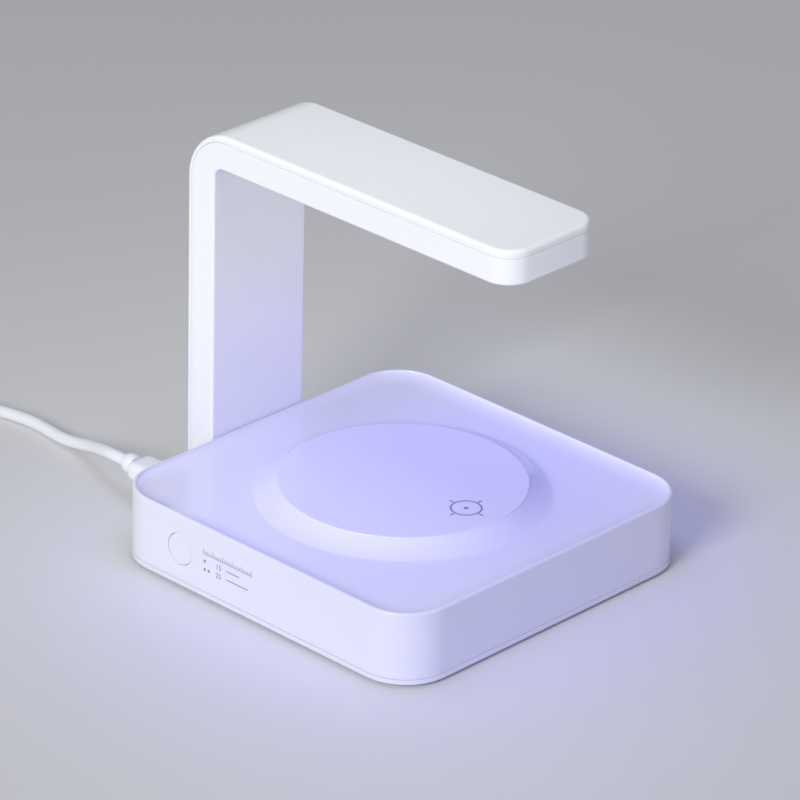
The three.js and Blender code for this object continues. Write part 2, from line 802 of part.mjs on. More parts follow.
function addArm() {
  place('arm_body', armBody(), materials.housing);
  place('arm_cover', armCover(), materials.housing);
  [-armScrewPlace, armScrewPlace].forEach((side, number) => {
    const fastener = place(`arm_screw_${number + 1}`, armScrew, materials.metal);
    fastener.rotation.y = -quarter;
    fastener.position.set(-innerHalf + seatGap, side, armScrewHeight);
  });
  const flange = windowPrism(windowFlange, cavityFloor + seatGap, windowTop);
  const pane = windowPrism(-seatGap, headUnder + windowRecess, windowTop - windowFlangeThickness / 2);
  place('uv_window', join(flange, pane), materials.window);
  const lampBoardTop = lampBoardUnder + lampBoardThickness;
  const outline = roundedOutline(lampBoardLength, lampBoardWidth, windowFlange);
  const holes = lampPosts.map((along) => (
    rod('z', smallBore, lampBoardUnder - overrun, lampBoardTop + overrun, [along, 0], smallSides)));
  const panel = prism(outline, lampBoardUnder, lampBoardTop).translate(lampCentre, 0, 0);
  const board = cut(panel, ...holes);
  place('lamp_board', board, materials.lampBoard);
  lampPosts.forEach((along, number) => {
    const fastener = place(`lamp_screw_${number + 1}`, smallScrew, materials.metal);
    fastener.rotation.x = 2 * quarter;
    fastener.position.set(along, 0, lampBoardTop + seatGap);
  });
  for (let number = 0; number < emitterCount; number += 1) {
    const along = lampCentre + (number - (emitterCount - 1) / 2) * emitterPitch;
    const base = emitterUnder + emitterDomeHeight;
    const dome = turned([
      [0, emitterUnder],
      [emitterDome * emitterCrownShare, emitterUnder + emitterDomeHeight * (1 - emitterCrownShare)],
      [emitterDome, base],
      [emitterDome, base + emitterHeight / 2],
      [0, base + emitterHeight / 2],
    ], smallSides);
    const half = emitterSide / 2;
    const emitter = join(dome, block([-half, -half, base], [half, half, base + emitterHeight]));
    place(`uv_emitter_${number + 1}`, emitter.translate(along, 0, 0), materials.emitter);
  }
  place('lamp_harness', lampHarness(), materials.cable);
}

function addButton() {
  const face = -baseHalf + buttonRecess;
  const capRadius = buttonHole - seatGap;
  const flangeFront = -innerHalf + seatGap;
  const stemStart = flangeFront + buttonFlangeThickness;
  const stemEnd = switchFront - plungerProud - seatGap;
  // The profile runs along +Y from the pressed face to the stem
  const cap = turned([
    [0, face],
    [capRadius - buttonEdge, face],
    [capRadius, face + buttonEdge],
    [capRadius, flangeFront],
    [buttonHole + buttonFlange, flangeFront],
    [buttonHole + buttonFlange, stemStart],
    [buttonStem, stemStart],
    [buttonStem, stemEnd],
    [0, stemEnd],
  ], buttonSides).rotateX(-quarter);
  place('button_cap', cap.translate(buttonPlace, 0, buttonHeight), materials.button);
  const half = switchSide / 2;
  const centre = [buttonPlace, buttonHeight];
  const housing = cut(
    block(
      [buttonPlace - half, switchFront, buttonHeight - half],
      [buttonPlace + half, switchFront + switchDepth, buttonHeight + half],
    ),
    rod('y', plungerRadius + seatGap, switchFront - overrun, switchFront + plungerBore, centre),
  );
  place('switch_body', housing, materials.black);
  const plungerFront = switchFront - plungerProud;
  const plunger = rod('y', plungerRadius, plungerFront, plungerFront + plungerLength, centre);
  place('switch_plunger', plunger, materials.cream);
  place('switch_board', block(
    [buttonPlace - switchBoardWidth / 2, switchBoardFront, buttonHeight - switchBoardHeight / 2],
    [
      buttonPlace + switchBoardWidth / 2,
      switchBoardFront + switchBoardThickness,
      buttonHeight + switchBoardHeight / 2,
    ],
  ), materials.board);
}

function addMainBoard() {
  const holes = boardPosts.map((spot) => (
    rod('z', smallBore, boardUnder - overrun, boardTop + overrun, spot, smallSides)));
  const board = cut(block(
    [boardLeft, boardFront, boardUnder],
    [boardLeft + boardLength, boardFront + boardDepth, boardTop],
  ), ...holes);
  place('main_board', board, materials.board);
  [boardPosts[1], boardPosts[2]].forEach((spot, number) => {
    const fastener = place(`board_screw_${number + 1}`, smallScrew, materials.metal);
    fastener.rotation.x = 2 * quarter;
    fastener.position.set(...spot, boardTop + seatGap);
  });
  const centre = [portPlace, portHeight];
  const socketBack = socketFront + socketLength;
  const socket = cut(
    alongX(portOutline(0), socketFront, socketBack, centre),
    alongX(portOutline(-socketWall), socketFront - overrun, socketBack + overrun, centre),
  );
  place('socket_shell', socket, materials.metal);
  const halfWidth = tongueWidth / 2;
  const halfThickness = tongueThickness / 2;
  const tongue = join(
    alongX(portOutline(-socketWall - tipGap), socketBack - tongueFoot, socketBack, centre),
    block(
      [socketBack - tongueFoot - tongueLength, portPlace - halfWidth, portHeight - halfThickness],
      [socketBack - tongueFoot / 2, portPlace + halfWidth, portHeight + halfThickness],
    ),
  );
  place('socket_tongue', tongue, materials.black);
  // Parts on the board's top face, each with its lowest corner and its size
  const rest = boardTop + seatGap;
  const row = boardFront + boardDepth / 2;
  const middle = boardLeft + boardLength / 2;
  const components = {
    controller_chip: [[middle, row], [chipSide, chipSide, chipHeight], materials.black],
    power_inductor: [
      [middle + 2 * chipSide, row - inductorSide],
      [inductorSide, inductorSide, inductorHeight],
      materials.ferrite,
    ],
    capacitor_1: [
      [middle + chipSide + capacitorPitch, row + capacitorPitch],
      [capacitorLength, capacitorWidth, capacitorHeight],
      materials.capacitor,
    ],
    capacitor_2: [
      [middle - chipSide, row - 2 * capacitorPitch],
      [capacitorLength, capacitorWidth, capacitorHeight],
      materials.capacitor,
    ],
    lamp_connector: [
      [connectorX - connectorLength / 2, connectorY],
      [connectorLength, connectorWidth, connectorHeight],
      materials.cream,
    ],
  };
  Object.entries(components).forEach(([name, [[x, y], [length, width, height], material]]) => {
    place(name, block([x, y, rest], [x + length, y + width, rest + height]), material);
  });
}

// A flat spiral of wire on a ferrite disc, in a carrier that hangs from the disc's underside
function addChargingCoil() {
  const holes = carrierPlaces.map((spot) => (
    rod('z', smallBore, carrierUnder - overrun, carrierTop + overrun, spot, smallSides)));
  const pocket = ferriteRadius + seatGap;
  const carrier = cut(
    join(
      rod('z', carrierRadius, carrierUnder, carrierTop, [0, 0], discSides),
      rod('z', pocket + carrierRim, carrierUnder, carrierTop + ferriteThickness, [0, 0], discSides),
    ),
    rod('z', pocket, carrierTop, carrierTop + ferriteThickness + overrun, [0, 0], discSides),
    rod('z', chargeInner / 2, carrierUnder - overrun, carrierTop + overrun, [0, 0]),
    ...holes,
  );
  place('coil_carrier', carrier, materials.black);
  carrierPlaces.forEach(([x, y], number) => {
    const fastener = place(`carrier_screw_${number + 1}`, smallScrew, materials.metal);
    fastener.position.set(x, y, carrierUnder - seatGap);
  });
  const ferriteUnder = carrierTop + seatGap;
  const ferriteTop = ferriteUnder + ferriteThickness;
  const ferrite = rod('z', ferriteRadius, ferriteUnder, ferriteTop, [0, 0], discSides);
  place('ferrite_plate', ferrite, materials.ferrite);
  const level = ferriteTop + seatGap + chargeWire;
  const points = Array.from({ length: chargeTurns * coilSteps + 1 }, (_, step) => {
    const turn = step / coilSteps;
    const radius = chargeInner + chargePitch * turn;
    const angle = turn * 4 * quarter;
    return new THREE.Vector3(radius * Math.cos(angle), radius * Math.sin(angle), level);
  });
  const curve = smoothCurve(points);
  const gap = leastGap(curve, chargeWire, 4 * quarter * chargeInner);
  console.log(`charging_coil least gap ${gap.toFixed(2)} mm`);
  place('charging_coil', tube(curve, chargeWire, chargeTurns * coilSteps, wireSides), materials.copper);
}

// Plug at the base: a hollow metal tip, an overmould with a rounded tail and a collar round the cable
const plugFront = -baseHalf - plugStandOff;
const plugBack = plugFront - plugLength;

function ringAlongX(width, height, radius, x) {
  return roundedOutline(width, height, radius)
    .map((point) => new THREE.Vector3(x, portPlace + point.x, portHeight + point.y));
}

function addPlug() {
  const tipEnd = plugFront + plugTipLength;
  const tipStart = plugFront + seatGap;
  const shell = roundedOutline(plugTipWidth, plugTipHeight, plugTipHeight / 2 - roundMargin);
  const boreWidth = plugTipWidth - 2 * plugTipWall;
  const boreHeight = plugTipHeight - 2 * plugTipWall;
  const bore = roundedOutline(boreWidth, boreHeight, boreHeight / 2 - roundMargin);
  const tip = cut(
    alongX(shell, tipStart, tipEnd, [portPlace, portHeight]),
    alongX(bore, tipStart + plugTipWall, tipEnd + overrun, [portPlace, portHeight]),
  );
  place('plug_tip', tip, materials.metal);
  const tail = filletSharesOf(coveSteps);
  const lead = plugCorner / 4;
  const overmould = loft([
    ...tail.map(({ inShare, alongShare }) => {
      const inset = plugRound * (1 - alongShare);
      return ringAlongX(
        plugWidth - 2 * inset,
        plugHeight - 2 * inset,
        plugCorner - inset,
        plugBack + 2 * plugRound * inShare,
      );
    }),
    ringAlongX(plugWidth, plugHeight, plugCorner, plugFront - lead),
    ringAlongX(plugWidth - lead, plugHeight - lead, plugCorner - lead / 2, plugFront),
  ]);
  place('plug_overmould', overmould, materials.cable);
  // A barrel-shaped bead that narrows towards the cable
  const collar = turned([
    [0, 0],
    ...collarShares.radius.map((share, point) => (
      [collarRadius * share, collarLength * collarShares.along[point]])),
    [0, collarLength],
  ]);
  collar.rotateY(-quarter).translate(plugBack - seatGap, portPlace, portHeight);
  place('plug_collar', collar, materials.cable);
}

// The cable's route from the collar to the coil, in its own chosen points
const cableRoute = [
  [-90.5, -32.9, 11], [-93.2, -32.8, 10.95], [-98, -31.9, 10.3], [-102, -30.6, 9.3], [-106, -29, 8],
  [-110, -27.5, 6.6], [-114, -26.1, 5.2], [-118, -25.1, 3.9], [-122, -24.4, 2.8], [-126, -24.1, 2],
  [-131, -23.6, 1.4], [-138, -22.7, 1.1], [-146, -22.3, 1.1], [-154, -23.4, 1.1], [-162, -25.2, 1.1],
  [-170, -26.3, 1.5], [-176.7, -26.6, 1.9], [-181.7, -26.6, 1.9],
];

// Spare length in a round coil of two layers: in along the lower one, up at the turn, out along the upper
const coilLevel = floorLevel + tieThickness + seatGap + cableRadius;
const coilOuter = coilMeanRadius + (coilTurns / 2) * coilPitch / 2;
const coilInner = coilMeanRadius - (coilTurns / 2) * coilPitch / 2;
const coilEntryY = cableRoute[cableRoute.length - 1][1];
const coilCentreY = coilEntryY - coilOuter;
const straight = 2 * cableRadius;

function coilPoints() {
  const points = [new THREE.Vector3(coilCentreX + straight, coilEntryY, coilLevel)];
  const steps = coilTurns * coilSteps;
  for (let step = 0; step <= steps; step += 1) {
    const turn = step / coilSteps;
    const fromMiddle = turn - coilTurns / 2;
    const radius = coilInner + coilPitch * Math.abs(fromMiddle);
    const climb = THREE.MathUtils.smoothstep(fromMiddle, -1 / 4, 1 / 4);
    const angle = quarter + turn * 4 * quarter;
    points.push(new THREE.Vector3(
      coilCentreX + radius * Math.cos(angle),
      coilCentreY + radius * Math.sin(angle),
      coilLevel + coilPitch * climb,
    ));
  }
  points.push(new THREE.Vector3(coilCentreX + straight, coilCentreY - coilOuter, coilLevel + coilPitch));
  return points;
}

// The far plug lies beside the coil, with its width level, its metal shell pointing along +X
const tailStart = coilCentreX + straight + seatGap;
const farBack = tailStart + tailLength + seatGap;
const farY = coilCentreY - coilOuter;
const farZ = floorLevel + farPlugHeight / 2;

function farRing(width, height, radius, x) {
  return roundedOutline(width, height, radius).map((point) => (
    new THREE.Vector3(x, farY + point.x, farZ + point.y)));
}

function addLead() {
  addPlug();
  const route = smoothCurve(cableRoute.map((point) => new THREE.Vector3(...point)));
  place('lead_cable', tube(route, cableRadius, routeSteps, cableSides), materials.cable);
  const coil = smoothCurve(coilPoints());
  const gap = leastGap(coil, cableRadius, 4 * quarter * coilInner);
  console.log(`lead_coil least gap ${gap.toFixed(2)} mm`);
  place('lead_coil', tube(coil, cableRadius, coilPoints().length - 1, coilSides), materials.cable);
  const tail = smoothCurve([
    new THREE.Vector3(tailStart, farY, coilLevel + coilPitch),
    new THREE.Vector3(tailStart + straight, farY, coilLevel + coilPitch),
    new THREE.Vector3(tailStart + tailLength / 2, farY, (coilLevel + coilPitch + farZ) / 2),
    new THREE.Vector3(tailStart + tailLength - straight, farY, farZ),
    new THREE.Vector3(tailStart + tailLength, farY, farZ),
  ]);
  place('lead_tail', tube(tail, cableRadius, tailSteps, cableSides), materials.cable);
  const cableLength = route.getLength() + coil.getLength() + tail.getLength();
  console.log(`cable length ${cableLength.toFixed(0)} mm`);

  const farFront = farBack + farPlugLength;
  const shoulder = farBack + 2 * farPlugTaper;
  const overmould = loft([
    farRing(2 * farPlugNeck, 2 * farPlugNeck, farPlugNeckCorner, farBack),
    farRing(2 * farPlugNeck, 2 * farPlugNeck, farPlugNeckCorner, farBack + farPlugTaper),
    farRing(farPlugWidth - farPlugCorner, farPlugHeight - farPlugCorner / 2, farPlugCorner, shoulder),
    farRing(farPlugWidth, farPlugHeight, farPlugCorner, shoulder + farPlugCorner),
    farRing(farPlugWidth, farPlugHeight, farPlugCorner, farFront),
  ]);
  place('far_plug_overmould', overmould, materials.cable);
  const shellStart = farFront + seatGap;
  const shellEnd = shellStart + farShellLength;
  const halfWidth = farShellWidth / 2;
  const halfHeight = farShellHeight / 2;
  const boreHalf = halfWidth - farShellWall;
  const boreRise = halfHeight - farShellWall;
  const shell = cut(
    block([shellStart, farY - halfWidth, farZ - halfHeight], [shellEnd, farY + halfWidth, farZ + halfHeight]),
    block(
      [shellStart + farShellWall, farY - boreHalf, farZ - boreRise],
      [shellEnd + overrun, farY + boreHalf, farZ + boreRise],
    ),
  );
  place('far_plug_shell', shell, materials.metal);
  const tongueSide = boreHalf - seatGap;
  const tongueLow = farZ - boreRise + tipGap;
  place('far_plug_tongue', block(
    [shellStart + farShellWall + seatGap, farY - tongueSide, tongueLow],
    [shellEnd - seatGap, farY + tongueSide, tongueLow + farTongueThickness],
  ), materials.cream);

  // A soft tie round the bundle of turns, on the side away from the base
  const turnsIn = coilInner - cableRadius;
  const bundleIn = Math.sqrt(turnsIn ** 2 - (tieWidth / 2) ** 2) - seatGap;
  const bundleOut = coilInner + coilPitch * (coilTurns / 2 - 1 / 4) + cableRadius + seatGap;
  const bundleTop = coilLevel + coilPitch + cableRadius + seatGap;
  const bundleUnder = floorLevel + tieThickness;
  const tieOutline = (grow) => {
    const width = bundleOut - bundleIn + 2 * grow;
    const height = bundleTop - bundleUnder + 2 * grow;
    return roundedOutline(width, height, cableRadius + grow);
  };
  const tie = cut(
    prism(tieOutline(tieThickness), -tieWidth / 2, tieWidth / 2),
    prism(tieOutline(0), -tieWidth / 2 - overrun, tieWidth / 2 + overrun),
  );
  tie.rotateX(quarter).translate(
    coilCentreX - (bundleIn + bundleOut) / 2,
    coilCentreY,
    (bundleTop + bundleUnder) / 2,
  );
  place('lead_tie', tie, materials.black);
}

addBase();
addArm();
addButton();
addMainBoard();
addChargingCoil();
addLead();

export default product;
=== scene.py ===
# %% [markdown]
# # A sterilizing lamp over a wireless charging base
# The object is a square base that charges what lies on its round disc, and an arm that holds a row of
# ultraviolet emitters over it. Its rigid parts come packed from CAD, in one shared frame, and this lesson
# dresses them: a camera and lights, smooth surfaces worked out from a few measurements, and materials.
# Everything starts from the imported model, so that each new piece lies exactly where the CAD piece was.

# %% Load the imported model
import json

import bmesh
import bpy
import numpy as np
from mathutils import Matrix, Vector

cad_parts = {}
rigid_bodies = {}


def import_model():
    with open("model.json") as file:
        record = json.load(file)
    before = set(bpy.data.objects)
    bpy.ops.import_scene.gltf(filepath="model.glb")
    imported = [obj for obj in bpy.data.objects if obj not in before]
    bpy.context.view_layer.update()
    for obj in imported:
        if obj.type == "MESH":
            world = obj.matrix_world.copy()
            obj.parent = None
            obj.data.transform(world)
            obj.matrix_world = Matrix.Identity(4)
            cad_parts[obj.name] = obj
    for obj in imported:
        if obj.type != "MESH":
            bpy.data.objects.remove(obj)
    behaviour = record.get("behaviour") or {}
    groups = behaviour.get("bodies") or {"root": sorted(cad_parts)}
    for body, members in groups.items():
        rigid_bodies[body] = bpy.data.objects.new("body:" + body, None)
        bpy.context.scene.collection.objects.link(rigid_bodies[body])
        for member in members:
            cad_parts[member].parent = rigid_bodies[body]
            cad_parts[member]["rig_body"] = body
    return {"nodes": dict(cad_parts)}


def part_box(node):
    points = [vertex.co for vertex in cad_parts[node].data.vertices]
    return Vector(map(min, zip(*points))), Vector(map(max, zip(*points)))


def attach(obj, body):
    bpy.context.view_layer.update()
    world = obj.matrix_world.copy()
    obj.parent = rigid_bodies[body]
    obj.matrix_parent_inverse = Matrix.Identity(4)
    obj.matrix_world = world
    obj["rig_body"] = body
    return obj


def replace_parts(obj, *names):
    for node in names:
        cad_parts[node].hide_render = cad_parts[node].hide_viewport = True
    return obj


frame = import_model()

nodes, scene = frame["nodes"], bpy.context.scene
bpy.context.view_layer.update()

# %% [markdown]
# ## One origin for every shape
# A designer draws this lamp from the middle of its base, in millimetres, with level zero at the underside
# of the bottom cover. Blender works in metres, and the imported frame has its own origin. So one function
# moves drawing points into the frame, a second one reads a CAD piece's size back as drawing millimetres,
# and the origin's own place is read from two CAD pieces instead of being written down twice.

# %% From drawing millimetres to the frame
MM = 0.001
shell_middle = np.mean([np.array(corner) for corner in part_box("base_shell")], axis=0)
ORIGIN = np.append(shell_middle[:2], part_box("bottom_cover")[0].z)


def in_frame(points):
    """Drawing points in millimetres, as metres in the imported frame: point times 0.001, plus the origin."""
    return np.asarray(points, float) * MM + ORIGIN


def drawing_box(node):
    """A CAD node's lowest and highest corner in drawing millimetres: corner less origin, over 0.001."""
    return [(np.array(corner) - ORIGIN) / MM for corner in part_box(node)]


print("origin in mm:", np.round(ORIGIN / MM, 2))

# %% [markdown]
# ## The camera
# The photograph looks down on the front corner with a long lens: upright edges stay nearly parallel. The
# angles were worked out beforehand from the straight edges of the base and the arm. A camera is three
# directions and a place: it looks along its own -Z, with X to the right of the picture and Y up it. The
# small roll turns the last two about the line of sight.

# %% Place the camera
def in_scene(name, data):
    """A new object with its data, at the origin and linked to the scene."""
    made = bpy.data.objects.new(name, data)
    scene.collection.objects.link(made)
    return made


AZIMUTH, ELEVATION, ROLL = np.radians([43.56, 26.04, 1.42])
DISTANCE, FOCAL_LENGTH = 1.6644, 239.18
TARGET = np.array([-0.01298, 0.01745, 0.04204])
backward = np.array([
    np.sin(AZIMUTH) * np.cos(ELEVATION), -np.cos(AZIMUTH) * np.cos(ELEVATION), np.sin(ELEVATION)])
level_right = np.cross([0, 0, 1], backward)
level_right /= np.linalg.norm(level_right)
level_up = np.cross(backward, level_right)
right = level_right * np.cos(ROLL) + level_up * np.sin(ROLL)
up = level_up * np.cos(ROLL) - level_right * np.sin(ROLL)

lens = bpy.data.cameras.new("photo_camera")
lens.lens = FOCAL_LENGTH
lens.clip_start, lens.clip_end = 0.05, 20
camera = in_scene("photo_camera", lens)
turn = Matrix([list(row) for row in np.stack([right, up, backward], axis=1)]).to_4x4()
camera.matrix_world = Matrix.Translation(Vector(TARGET + backward * DISTANCE)) @ turn
scene.camera = camera
print("camera at", [round(v, 3) for v in camera.location])

# %% [markdown]
# ## Grids of points
# Nearly every piece here is one grid of points: a closed outline, carried through a list of steps that
# shrink it, lift it or bend it. Joining each point to its neighbours gives the faces. A step where all
# points meet closes the grid to a pole, and the doubled points there are merged afterwards. The same
# finishing function then turns the faces outwards and shades the piece smoothly, but for true edges.

# %% Faces of a grid
def grid_faces(rows, columns, close_rows=False):
    """Quads that join point (i, j) to (i, j+1), (i+1, j+1) and (i+1, j), with j running round a ring."""
    i, j = np.meshgrid(np.arange(rows if close_rows else rows - 1), np.arange(columns), indexing="ij")
    i, j = i.ravel(), j.ravel()
    below, beside = (i + 1) % rows, (j + 1) % columns
    return np.stack([i * columns + j, i * columns + beside, below * columns + beside, below * columns + j], 1)


def ladder_faces(columns, first):
    """Quads across a ring whose second half mirrors its first: rung k joins points k and columns - 1 - k."""
    k = np.arange(columns // 2 - 1)
    return np.stack([k, k + 1, columns - 2 - k, columns - 1 - k], 1) + first


print("3 rings of 4 points make", len(grid_faces(3, 4)), "faces")


# %% Turn points and faces into a finished mesh
TRUE_EDGE = 32.0
SAME_PLACE, NO_LENGTH = 2e-7, 1e-8


def finish_mesh(name, points, faces, edge_angle=TRUE_EDGE):
    """A mesh at the origin from drawing points: doubles merged, faces outward, smooth but for true edges."""
    mesh = bpy.data.meshes.new(name)
    mesh.from_pydata(in_frame(points).reshape(-1, 3).tolist(), [], faces.tolist())
    work = bmesh.new()
    work.from_mesh(mesh)
    bmesh.ops.remove_doubles(work, verts=work.verts, dist=SAME_PLACE)
    bmesh.ops.dissolve_degenerate(work, edges=work.edges, dist=NO_LENGTH)
    bmesh.ops.recalc_face_normals(work, faces=work.faces)
    work.to_mesh(mesh)
    work.free()
    smooth_shade(mesh, edge_angle)
    return in_scene(name, mesh)


def smooth_shade(mesh, edge_angle):
    """Smooth faces, with every edge that turns by more than the angle kept sharp."""
    mesh.polygons.foreach_set("use_smooth", np.ones(len(mesh.polygons), bool))
    mesh.set_sharp_from_angle(angle=np.radians(edge_angle))
    mesh.update()


print(f"an edge that turns by more than {TRUE_EDGE:.0f} degrees stays sharp")


# %% Closed pieces from stacked rings
def stack(name, rings, edge_angle=TRUE_EDGE):
    """A closed body from rings of equal count: the grid between them, with a pole at each end."""
    rings = np.asarray(rings, float)
    ends = [np.repeat(ring.mean(axis=0)[None], rings.shape[1], axis=0) for ring in (rings[0], rings[-1])]
    grid = np.concatenate([ends[0][None], rings, ends[1][None]])
    return finish_mesh(name, grid, grid_faces(len(grid), grid.shape[1]), edge_angle)


def loop(name, sections):
    """A closed loop of sections, such as a band or a ring: the grid between them, joined end to end."""
    return finish_mesh(name, sections, grid_faces(*sections.shape[:2], close_rows=True))


def quarter_round(radius, steps):
    """A rounded edge as (inwards, along) pairs: radius times (1 - cos a, sin a), a from 0 to 90 degrees.

    Added to a corner's two numbers it gives that corner's points, with a sign or an order turned where the
    edge runs another way.
    """
    angle = np.linspace(0, np.pi / 2, steps + 1)
    return radius * np.stack([1 - np.cos(angle), np.sin(angle)], axis=1)


print("a 1 mm edge in 2 steps:", quarter_round(1, 2).round(3).tolist())

# %% [markdown]
# ## The charging cable
# The white lead is about a metre of soft 4 mm cable. It leaves its plug level, sags to the floor in a few
# centimetres and runs off to the left. The rest is put away as it would be on a shelf: in a round coil of
# two layers, which lies just outside the picture. A cable like this is best made as a tube round one
# line. The line passes through chosen points as a centripetal Catmull-Rom curve, which neither kinks nor
# overshoots, and the coil is a spiral with a formula.

# %% A smooth line through points
def smooth_line(points, steps):
    """Centripetal Catmull-Rom: between neighbours a cubic whose slopes use root distances as time."""
    points = np.asarray(points, float)
    points = np.vstack([2 * points[0] - points[1], points, 2 * points[-1] - points[-2]])
    time = np.sqrt(np.linalg.norm(np.diff(points, axis=0), axis=1))[:, None]
    p0, p1, p2, p3 = points[:-3], points[1:-2], points[2:-1], points[3:]
    t0, t1, t2 = time[:-2], time[1:-1], time[2:]
    slope1 = ((p1 - p0) / t0 - (p2 - p0) / (t0 + t1) + (p2 - p1) / t1) * t1
    slope2 = ((p2 - p1) / t1 - (p3 - p1) / (t1 + t2) + (p3 - p2) / t2) * t1
    t = np.linspace(0, 1, steps, endpoint=False)[:, None, None]
    cubic = (p1 + slope1 * t + (3 * (p2 - p1) - 2 * slope1 - slope2) * t ** 2
             + (2 * (p1 - p2) + slope1 + slope2) * t ** 3)
    return np.vstack([cubic.transpose(1, 0, 2).reshape(-1, 3), points[-2]])


print("through a corner:", smooth_line([[0, 0, 0], [1, 0, 0], [1, 1, 0]], 2).round(3).tolist())


# %% The cable's route, coil and tail
LINE_STEPS, TURN_STEPS, TUBE_EDGE = 8, 72, 50.0
CABLE_RADIUS, CABLE_REST = 2.0, 1.1
CABLE_ROUTE = [
    [-90.5, -32.9, 11], [-93.2, -32.8, 10.95], [-98, -31.9, 10.3], [-102, -30.6, 9.3], [-106, -29, 8],
    [-110, -27.5, 6.6], [-114, -26.1, 5.2], [-118, -25.1, 3.9], [-122, -24.4, 2.8], [-126, -24.1, 2],
    [-131, -23.6, 1.4], [-138, -22.7, 1.1], [-146, -22.3, 1.1], [-154, -23.4, 1.1], [-162, -25.2, 1.1],
    [-170, -26.3, 1.5], [-176.7, -26.6, 1.9], [-181.7, -26.6, 1.9],
]
COIL_X, COIL_TURNS, COIL_PITCH, COIL_MEAN, COIL_LEVEL = -186.0, 6.5, 4.5, 21.45, 1.9
coil_half = COIL_TURNS / 4 * COIL_PITCH
coil_inner, coil_outer = COIL_MEAN - coil_half, COIL_MEAN + coil_half
coil_y = CABLE_ROUTE[-1][1] - coil_outer
coil_mouth = COIL_X + 2 * CABLE_RADIUS


def eased(share):
    """A share that starts and ends level: three times its square less twice its cube."""
    return share ** 2 * (3 - 2 * share)


def coil_line(steps_per_turn):
    """A double spiral: radius = inner + pitch times turns from the middle, rising one pitch at the middle."""
    turn = np.linspace(0, COIL_TURNS, int(COIL_TURNS * steps_per_turn) + 1)
    middle = turn - COIL_TURNS / 2
    radius, angle = coil_inner + COIL_PITCH * np.abs(middle), np.pi / 2 + turn * 2 * np.pi
    level = COIL_LEVEL + COIL_PITCH * eased(np.clip(middle * 2 + 0.5, 0, 1))
    return np.column_stack([COIL_X + radius * np.cos(angle), coil_y + radius * np.sin(angle), level])


far_y, far_z = coil_y - coil_outer, 3.1
top_level = COIL_LEVEL + COIL_PITCH
tail_points = [
    [-181.7, far_y, top_level], [-177.7, far_y, top_level], [-171.7, far_y, (top_level + far_z) / 2],
    [-165.7, far_y, far_z], [-161.7, far_y, far_z],
]
cable_line = np.vstack([
    smooth_line(CABLE_ROUTE, LINE_STEPS)[:-1], [[coil_mouth, CABLE_ROUTE[-1][1], COIL_LEVEL]],
    coil_line(TURN_STEPS), [[coil_mouth, far_y, top_level]], smooth_line(tail_points, LINE_STEPS)])
cable_line[:, 2] = np.maximum(cable_line[:, 2], CABLE_REST)
cable_length = np.linalg.norm(np.diff(cable_line, axis=0), axis=1).sum()
print(f"cable line {cable_length:.0f} mm in {len(cable_line)} points")


# %% A tube round a line
def tube(name, line, radius, sides=20):
    """Circles square to the line: point = centre + radius (cos a times side + sin a times top)."""
    along = np.gradient(line, axis=0)
    along /= np.linalg.norm(along, axis=1)[:, None]
    side = np.cross(along, [0, 0, 1.0])
    side /= np.linalg.norm(side, axis=1)[:, None]
    top = np.cross(side, along)
    angle = np.linspace(0, 2 * np.pi, sides, endpoint=False)[None, :, None]
    rings = line[:, None] + radius * (np.cos(angle) * side[:, None] + np.sin(angle) * top[:, None])
    return stack(name, rings, TUBE_EDGE)


cable = tube("charging_cable", cable_line, CABLE_RADIUS)
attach(cable, "charging_lead")
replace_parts(cable, "lead_cable", "lead_coil", "lead_tail")
print(f"cable mesh: {len(cable.data.polygons)} faces")

# %% [markdown]
# ## The plug in the back of the base
# The plug is a soft white grip moulded over a small metal tip. Only the grip shows: a rounded block that
# ends in a dome, and a barrel-shaped bead from which the cable leaves. The block is a rounded rectangle
# carried along X, and the bead is a profile turned round the same axis. The metal tip sits in the socket.

# %% Rounded rectangles along X
def rounded_rectangle(width, height, corner, steps=7):
    """Corner centres plus corner radius times a unit circle, taken a quarter at a time."""
    angle = (np.arange(4)[:, None] * np.pi / 2 + np.linspace(0, np.pi / 2, steps + 1)).ravel()
    signs = np.array([[1, 1], [-1, 1], [-1, -1], [1, -1]]).repeat(steps + 1, axis=0)
    centre = signs * [width / 2 - corner, height / 2 - corner]
    return centre + corner * np.stack([np.cos(angle), np.sin(angle)], axis=1)


def loft_along_x(name, steps, centre):
    """A body through rounded rectangles: each step is x, width along Y, height along Z and corner."""
    rings = [np.insert(rounded_rectangle(*size) + centre, 0, x, axis=1) for x, *size in steps]
    return stack(name, rings)


def inset_step(x, size, inset):
    """A step at x: width and height less twice the inset, and the corner less the inset."""
    return x, size[0] - 2 * inset, size[1] - 2 * inset, size[2] - inset


PORT_Y, PORT_Z = -32.9, 11.0
PLUG_BACK, PLUG_FRONT, PLUG_DOME, PLUG_MOUTH = -85.3, -64.8, 1.6, 0.35
PLUG_SIZE = (10.4, 6.6, 2.4)
grip_steps = [
    *[inset_step(PLUG_BACK + 2 * along, PLUG_SIZE, PLUG_DOME - outwards)
      for along, outwards in quarter_round(PLUG_DOME, 9)],
    *[inset_step(PLUG_FRONT - PLUG_MOUTH + along, PLUG_SIZE, inwards)
      for inwards, along in quarter_round(PLUG_MOUTH, 3)]]
plug_grip = loft_along_x("plug_grip", grip_steps, [PORT_Y, PORT_Z])
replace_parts(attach(plug_grip, "charging_lead"), "plug_overmould")
print(f"grip {PLUG_FRONT - PLUG_BACK:.1f} mm long")


